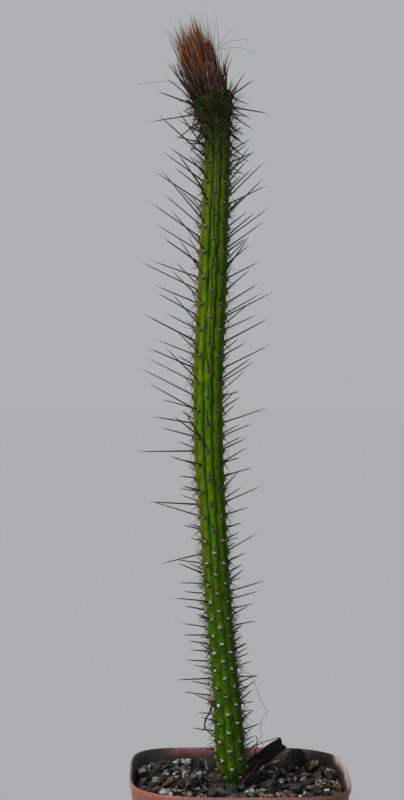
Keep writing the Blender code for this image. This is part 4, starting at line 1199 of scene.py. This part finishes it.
class CACTUS_OT_crown(bpy.types.Operator):
    """Grows the brush of bristles on the stem's tip, clumped at its tips, with painted shade: its bristles
    dark on the side away from the key light
    """

    bl_idname = "cactus.crown"
    bl_label = "Crown"

    def execute(self, context):
        look = context.scene.cactus.crown
        lean = Matrix.Rotation(-CROWN_LEAN, 3, "Y")
        tilt = Matrix.Rotation(-HEAD_TILT, 3, "Y")
        seat = stem_centre(HEAD_TOP) + tilt @ Vector((0, 0, FIT_GAP))
        draw = random.Random(CROWN_SEED)
        shapes = [
            spine_shape("bristle", BRISTLE_UNIT, look.radius, BRISTLE, 3, bend) for bend in BRISTLE_BENDS
        ]
        kinds = {"rust": [], "dark": [], "pale": []}

        def stand(kind, root, tip, thick=1.0):
            aim = tip - root
            roll = draw.uniform(0, math.tau)
            long = aim.length / BRISTLE_UNIT
            matrix = aim_matrix(seat + lean @ root, lean @ aim.normalized(), roll, thick, long)
            kinds[kind].append((draw.choice(shapes), matrix))

        def on_disc(i, count):
            return math.sqrt((i + 0.5) / count), spoke(i * GOLDEN_ANGLE)

        def splayed(kind, outward, radius, height, splay, length, thick):
            root = outward * radius + Vector((ROOTS_SHIFT, 0, height))
            splay = math.radians(splay)
            aim = outward * math.sin(splay) + Vector((0, 0, math.cos(splay)))
            stand(kind, root, root + aim * length, thick)

        # Tufts: cones of bristles that gather in points, the middle ones highest
        tufts = []
        for i in range(TUFTS):
            share, outward = on_disc(i, TUFTS)
            height = TUFTS_TOP - 0.0045 * share * share + draw.uniform(-0.0070, 0.0022)
            tufts.append(outward * share * TUFTS_DISC + Vector((TUFTS_SHIFT, 0, height)))
        for i in range(look.bristles):
            share, outward = on_disc(i, look.bristles)
            root = outward * share * ROOTS_DISC + Vector((ROOTS_SHIFT, 0, 0.0070 - 0.0074 * share))
            spread = outward * share * TUFTS_DISC + Vector((TUFTS_SHIFT, 0, 0))
            near = min(tufts, key=lambda tuft: (tuft - spread).xy.length)
            tip = (spread + Vector((0, 0, near.z - 0.0150))).lerp(near, draw.random() ** 0.85)
            if draw.random() < 0.05:
                tip += outward * draw.uniform(0.0005, 0.0025) + Vector((0, 0, draw.uniform(0.001, 0.004)))
            # Painted shade: many outer bristles on the side away from the key light are short and take the
            # dark finish
            painted_shade = share > 0.6 and outward.x > 0.2 and draw.random() < 0.55
            if painted_shade:
                tip = root.lerp(tip, draw.uniform(0.35, 0.62))
            stand("dark" if painted_shade or draw.random() < 0.3 else "rust", root, tip, draw.uniform(0.75, 1.15))
        for ruff in RUFFS:
            for i in range(ruff.count):
                height = draw.uniform(*ruff.heights) if len(ruff.heights) == 2 else ruff.heights[0]
                splay, length = draw.uniform(*ruff.splays), draw.uniform(*ruff.lengths)
                splayed(ruff.kind, spoke(i * GOLDEN_ANGLE), ruff.ring, height, splay, length, ruff.thick)
        # Loose bristles stand beside the brush on its upright side
        for i in range(LOOSE_BRISTLES):
            outward = Vector((1, draw.uniform(-0.9, 0.9), 0)).normalized()
            splayed("rust", outward, 0.0052, 0.0060, draw.uniform(1, 12), draw.uniform(0.015, 0.023), 0.75)
        # Long single hairs stand above the tufts
        for i in range(SINGLE_HAIRS):
            share, outward = on_disc(i, SINGLE_HAIRS)
            splayed("dark", outward, share * ROOTS_DISC, 0.0040, share * 14, 0.0330 - 0.0050 * share, 0.6)
        # Stiff dark bristles lean out past the ruff on the side that the brush leans to
        for i in range(LEANING_BRISTLES):
            outward = Vector((-1, draw.uniform(-1.1, 0.5), 0)).normalized()
            splayed("dark", outward, 0.0068, -0.0012, draw.uniform(9, 26), draw.uniform(0.012, 0.020), 1.3)

        def core(ring, turn):
            height, radius = CROWN_CORE[ring] if ring < len(CROWN_CORE) else (0.0235, 0.0)
            flat = tilt if ring == 0 else lean
            return (seat + flat @ Vector((math.cos(turn) * radius, math.sin(turn) * radius, height)),)

        # The dark finish is the dark strands' own colour, and on the side away from the key light it is also
        # painted shade
        dark = bristle_material("crown_bristle_dark", (0.0, look.umber), (0.7, look.dark_hair_and_shade), (1.0, look.tip))
        rust = bristle_material(
            "crown_bristle_rust", (0.48, look.umber), (0.80, look.rust), (0.90, look.rust), (1.0, look.tip)
        )
        pale = bristle_material("crown_hair_pale", (0.1, look.umber), (0.6, look.pale))
        add_piece("crown_core", loft(24, len(CROWN_CORE) + 1, core), dark, "cephalium")
        for kind, finish in (("rust", rust), ("dark", dark), ("pale", pale)):
            add_piece("crown_bristles_" + kind, gather(kinds[kind]), finish, "cephalium")
        hairs = [(as_mesh("hair", tube(path, 0.00011, 4, 0.5)), Matrix()) for path in STRAY_HAIRS]
        # A loose tube has no mark along its length, so it keeps the colour of the foot
        stray = bristle_material("crown_hair_stray", (0.0, look.pale), (1.0, look.dark_hair_and_shade))
        add_piece("crown_stray_hairs", gather(hairs), stray, "cephalium")
        return {"FINISHED"}


def rough_material(name, light, dark, scale, stretch, roughness, relief):
    """A broken natural surface: light ridges over dark pits, stretched along the piece's own grain."""
    made, shader, add = new_material(name, Roughness=roughness, IOR=1.5)
    place = add("TexCoord", {}, "Object")
    turned = add("Mapping", {"Vector": place, "Rotation": (0, math.radians(35), 0), "Scale": stretch})
    pattern = add("TexNoise", {"Vector": turned, "Scale": scale, "Detail": 6, "Roughness": 0.7})
    share = add("MapRange", {"Value": pattern, "From Min": 0.35, "From Max": 0.7})
    shade = add("Mix", {SHARE: share, UNDER: linear(dark), OVER: light}, **COLOUR_MIX)
    bump = add("Bump", {"Height": pattern, "Strength": 0.9, "Distance": relief})
    fill(shader, {"Base Color": shade, "Normal": bump})
    return made


class CACTUS_OT_bark_and_slag(bpy.types.Operator):
    """Breaks off the strip of bark that stands in the grit, and the black chunk behind it"""

    bl_idname = "cactus.bark_and_slag"
    bl_label = "Bark and slag"

    def execute(self, context):
        look = context.scene.cactus.scraps
        bm = bmesh.new()
        bmesh.ops.create_cube(bm, size=2)
        for axis, cuts in enumerate(BARK_CUTS):
            edges = [edge for edge in bm.edges if abs(edge.verts[0].co[axis] - edge.verts[1].co[axis]) > 1]
            bmesh.ops.subdivide_edges(bm, edges=edges, cuts=cuts, use_grid_fill=True)
        length = (BARK_HIGH - BARK_LOW).length
        for vert in bm.verts:
            run, across, through = vert.co
            ridge = noise.noise((run * 2.5, across * 3.5, through))
            ridge += 0.5 * noise.noise((run * 9, across * 9, 3))
            torn = noise.noise((across * 3, through * 2, run)) * abs(run) ** 6
            notch = BARK_NOTCH * ease(0.55, 0.95, run) * (1 - ease(0.15, 0.5, abs(across + 0.15)))
            width = BARK_HALF_WIDTH * (0.94 - 0.10 * ease(0.4, 1, run))
            width *= 1 + 0.10 * noise.noise((run * 4, through, 9))
            vert.co = Vector((
                run * (length / 2 - 0.0006) - notch + torn * 0.0007,
                across * width,
                through * BARK_HALF_THICKNESS * 0.8 + ridge * 0.0004,
            ))
        run_axis = (BARK_HIGH - BARK_LOW).normalized()
        through_axis = Vector((0, -1, 0))
        through_axis = (through_axis - run_axis * through_axis.dot(run_axis)).normalized()
        turn = Matrix((run_axis, through_axis.cross(run_axis), through_axis)).transposed().to_4x4()
        bmesh.ops.transform(bm, matrix=Matrix.Translation((BARK_LOW + BARK_HIGH) / 2) @ turn, verts=bm.verts)
        bmesh.ops.recalc_face_normals(bm, faces=bm.faces)
        # Weathered bark: matt black-brown with fibres along the strip, about 0.5 mm apart
        bark = rough_material("weathered_bark", look.bark, "060504", 700, (0.2, 1, 1), 0.8, 0.0006)
        add_piece("bark_strip", bm, bark, "bark_slab", sharp=50)

        bm = bmesh.new()
        bmesh.ops.create_icosphere(bm, subdivisions=5, radius=1)
        for vert in bm.verts:
            lumps = abs(noise.noise(vert.co * 2.6)) * 0.55 + abs(noise.noise(vert.co * 6)) * 0.24
            reach = 1.08 - lumps + noise.noise(vert.co * 15) * 0.05
            vert.co = CHUNK_PLACE + Vector([c * reach * half for c, half in zip(vert.co, CHUNK_HALF)])
        # Furnace slag: black and dull, pitted at about 1 mm
        slag = rough_material("furnace_slag", look.slag, "070708", 900, (1, 1, 1), 0.75, 0.0005)
        add_piece("slag_lump", bm, slag, "dark_chunk", sharp=60)
        return {"FINISHED"}


class CACTUS_OT_scraps(bpy.types.Operator):
    """Adds the dried flower and its filament, the loose thread and the rootlets"""

    bl_idname = "cactus.scraps"
    bl_label = "Dried scraps"

    def execute(self, context):
        look = context.scene.cactus.scraps
        # Withered flower: papery, rusty brown and creased, with a tuft of pale wool on it
        bud = rough_material("withered_flower", look.bud, "3A1E12", 1100, (1, 1, 1), 0.85, 0.0005)
        wool = rough_material("flower_wool", look.wool, "6E5850", 1600, (1, 1, 1), 0.95, 0.0003)
        for name, finish, centre, halves in (
            ("dry_bud", bud, Vector((-0.0103, -0.0030, 0.1132)), (0.0020, 0.0017, 0.0017)),
            ("dry_bud_wool", wool, Vector((-0.0108, -0.0034, 0.1146)), (0.0015, 0.0012, 0.0011)),
        ):
            bm = bmesh.new()
            bmesh.ops.create_icosphere(bm, subdivisions=4, radius=1)
            for vert in bm.verts:
                crumple = 1.2 - 1.1 * abs(noise.noise(vert.co * 1.9)) - 0.7 * abs(noise.noise(vert.co * 5))
                vert.co = centre + Vector([c * crumple * half for c, half in zip(vert.co, halves)])
            add_piece(name, bm, finish, sharp=70)

        finishes = {
            # Shrivelled filament: black and wiry
            "black": rough_material(
                "shrivelled_filament", look.filament, "0B0908", 1500, (1, 1, 1), 0.6, 0.0002
            ),
            # Dried rootlets: tan, matt and thin as thread
            "tan": rough_material("dried_rootlet", look.root, "4A3D30", 1500, (1, 1, 1), 0.8, 0.0001),
        }
        for scrap in SCRAPS:
            shape = tube(scrap.points, scrap.radius, scrap.sides, scrap.tip)
            add_piece(scrap.name, shape, finishes[scrap.finish])
        return {"FINISHED"}


class CACTUS_OT_stage(bpy.types.Operator):
    """Sets up the pale floor, the soft light and the camera"""

    bl_idname = "cactus.stage"
    bl_label = "Stage"

    def execute(self, context):
        scene = context.scene
        look = scene.cactus.stage
        bm = bmesh.new()
        bmesh.ops.create_circle(bm, cap_ends=True, segments=64, radius=FLOOR_RADIUS)
        mesh = as_mesh("floor", bm)
        # Matt paint: no shine, so that the floor stays one even tone
        paint, shader, _ = new_material("matt_floor_paint", Roughness=1.0, IOR=1.3)
        fill(shader, {"Base Color": look.floor})
        mesh.materials.append(paint)
        floor = bpy.data.objects.new("floor", mesh)
        scene.collection.objects.link(floor)

        # The surround is pale round the horizon and falls off overhead, so that the key light gives form
        scene.world = bpy.data.worlds.new("pale surround")
        scene.world.use_nodes = True
        add = partial(add_node, scene.world.node_tree)
        climb = add("SeparateXYZ", {0: add("TexCoord", {}, "Generated")}, "Z")
        rise = {"Value": climb, "From Min": PALE_UP_TO, "From Max": 1.0}
        overhead = add("MapRange", rise, interpolation_type="SMOOTHSTEP")
        sky = add("Mix", {SHARE: overhead, UNDER: look.air, OVER: look.overhead}, **COLOUR_MIX)
        fill(scene.world.node_tree.nodes["Background"], {"Color": sky})

        key = bpy.data.lights.new("soft key", "SUN")
        key.energy = look.key_strength
        key.angle = math.radians(KEY_SPREAD)
        sun = bpy.data.objects.new("soft key", key)
        sun.rotation_euler = (math.radians(90 - KEY_CLIMB), 0, math.radians(-KEY_FROM_LEFT))
        scene.collection.objects.link(sun)

        lens = bpy.data.cameras.new("camera")
        lens.sensor_fit = "VERTICAL"
        lens.sensor_height = FILM_HEIGHT
        lens.lens = LENS
        camera = bpy.data.objects.new("camera", lens)
        camera.location = CAMERA_PLACE
        camera.rotation_euler = (math.radians(90), 0, 0)
        scene.collection.objects.link(camera)
        scene.camera = camera
        scene.view_settings.view_transform = "Standard"
        return {"FINISHED"}


class CACTUS_PT_build(bpy.types.Panel):
    """Lists the settings and the steps that dress the cactus"""

    bl_idname = "CACTUS_PT_build"
    bl_label = "Potted Cactus"
    bl_space_type = "VIEW_3D"
    bl_region_type = "UI"
    bl_category = "Cactus"

    def draw(self, context):
        for step, group in STEPS:
            box = self.layout.box()
            box.operator(step.bl_idname)
            settings = getattr(context.scene.cactus, group)
            for name in settings.bl_rna.properties.keys():
                if name not in ("rna_type", "name"):
                    box.prop(settings, name)


STEPS = (
    (CACTUS_OT_stage, "stage"),
    (CACTUS_OT_pot, "pot"),
    (CACTUS_OT_grit, "grit"),
    (CACTUS_OT_stem, "stem"),
    (CACTUS_OT_areoles, "spines"),
    (CACTUS_OT_spines, "spines"),
    (CACTUS_OT_crown, "crown"),
    (CACTUS_OT_bark_and_slag, "scraps"),
    (CACTUS_OT_scraps, "scraps"),
)
CLASSES = (
    PotSettings,
    GritSettings,
    StemSettings,
    SpineSettings,
    CrownSettings,
    ScrapSettings,
    StageSettings,
    CactusSettings,
    *(step for step, _ in STEPS),
    CACTUS_PT_build,
)


def register():
    for cls in CLASSES:
        bpy.utils.register_class(cls)
    bpy.types.Scene.cactus = PointerProperty(type=CactusSettings)


def unregister():
    del bpy.types.Scene.cactus
    for cls in reversed(CLASSES):
        bpy.utils.unregister_class(cls)


def main():
    register()
    for step, _ in STEPS:
        group, name = step.bl_idname.split(".")
        getattr(getattr(bpy.ops, group), name)()


if __name__ == "__main__":
    main()
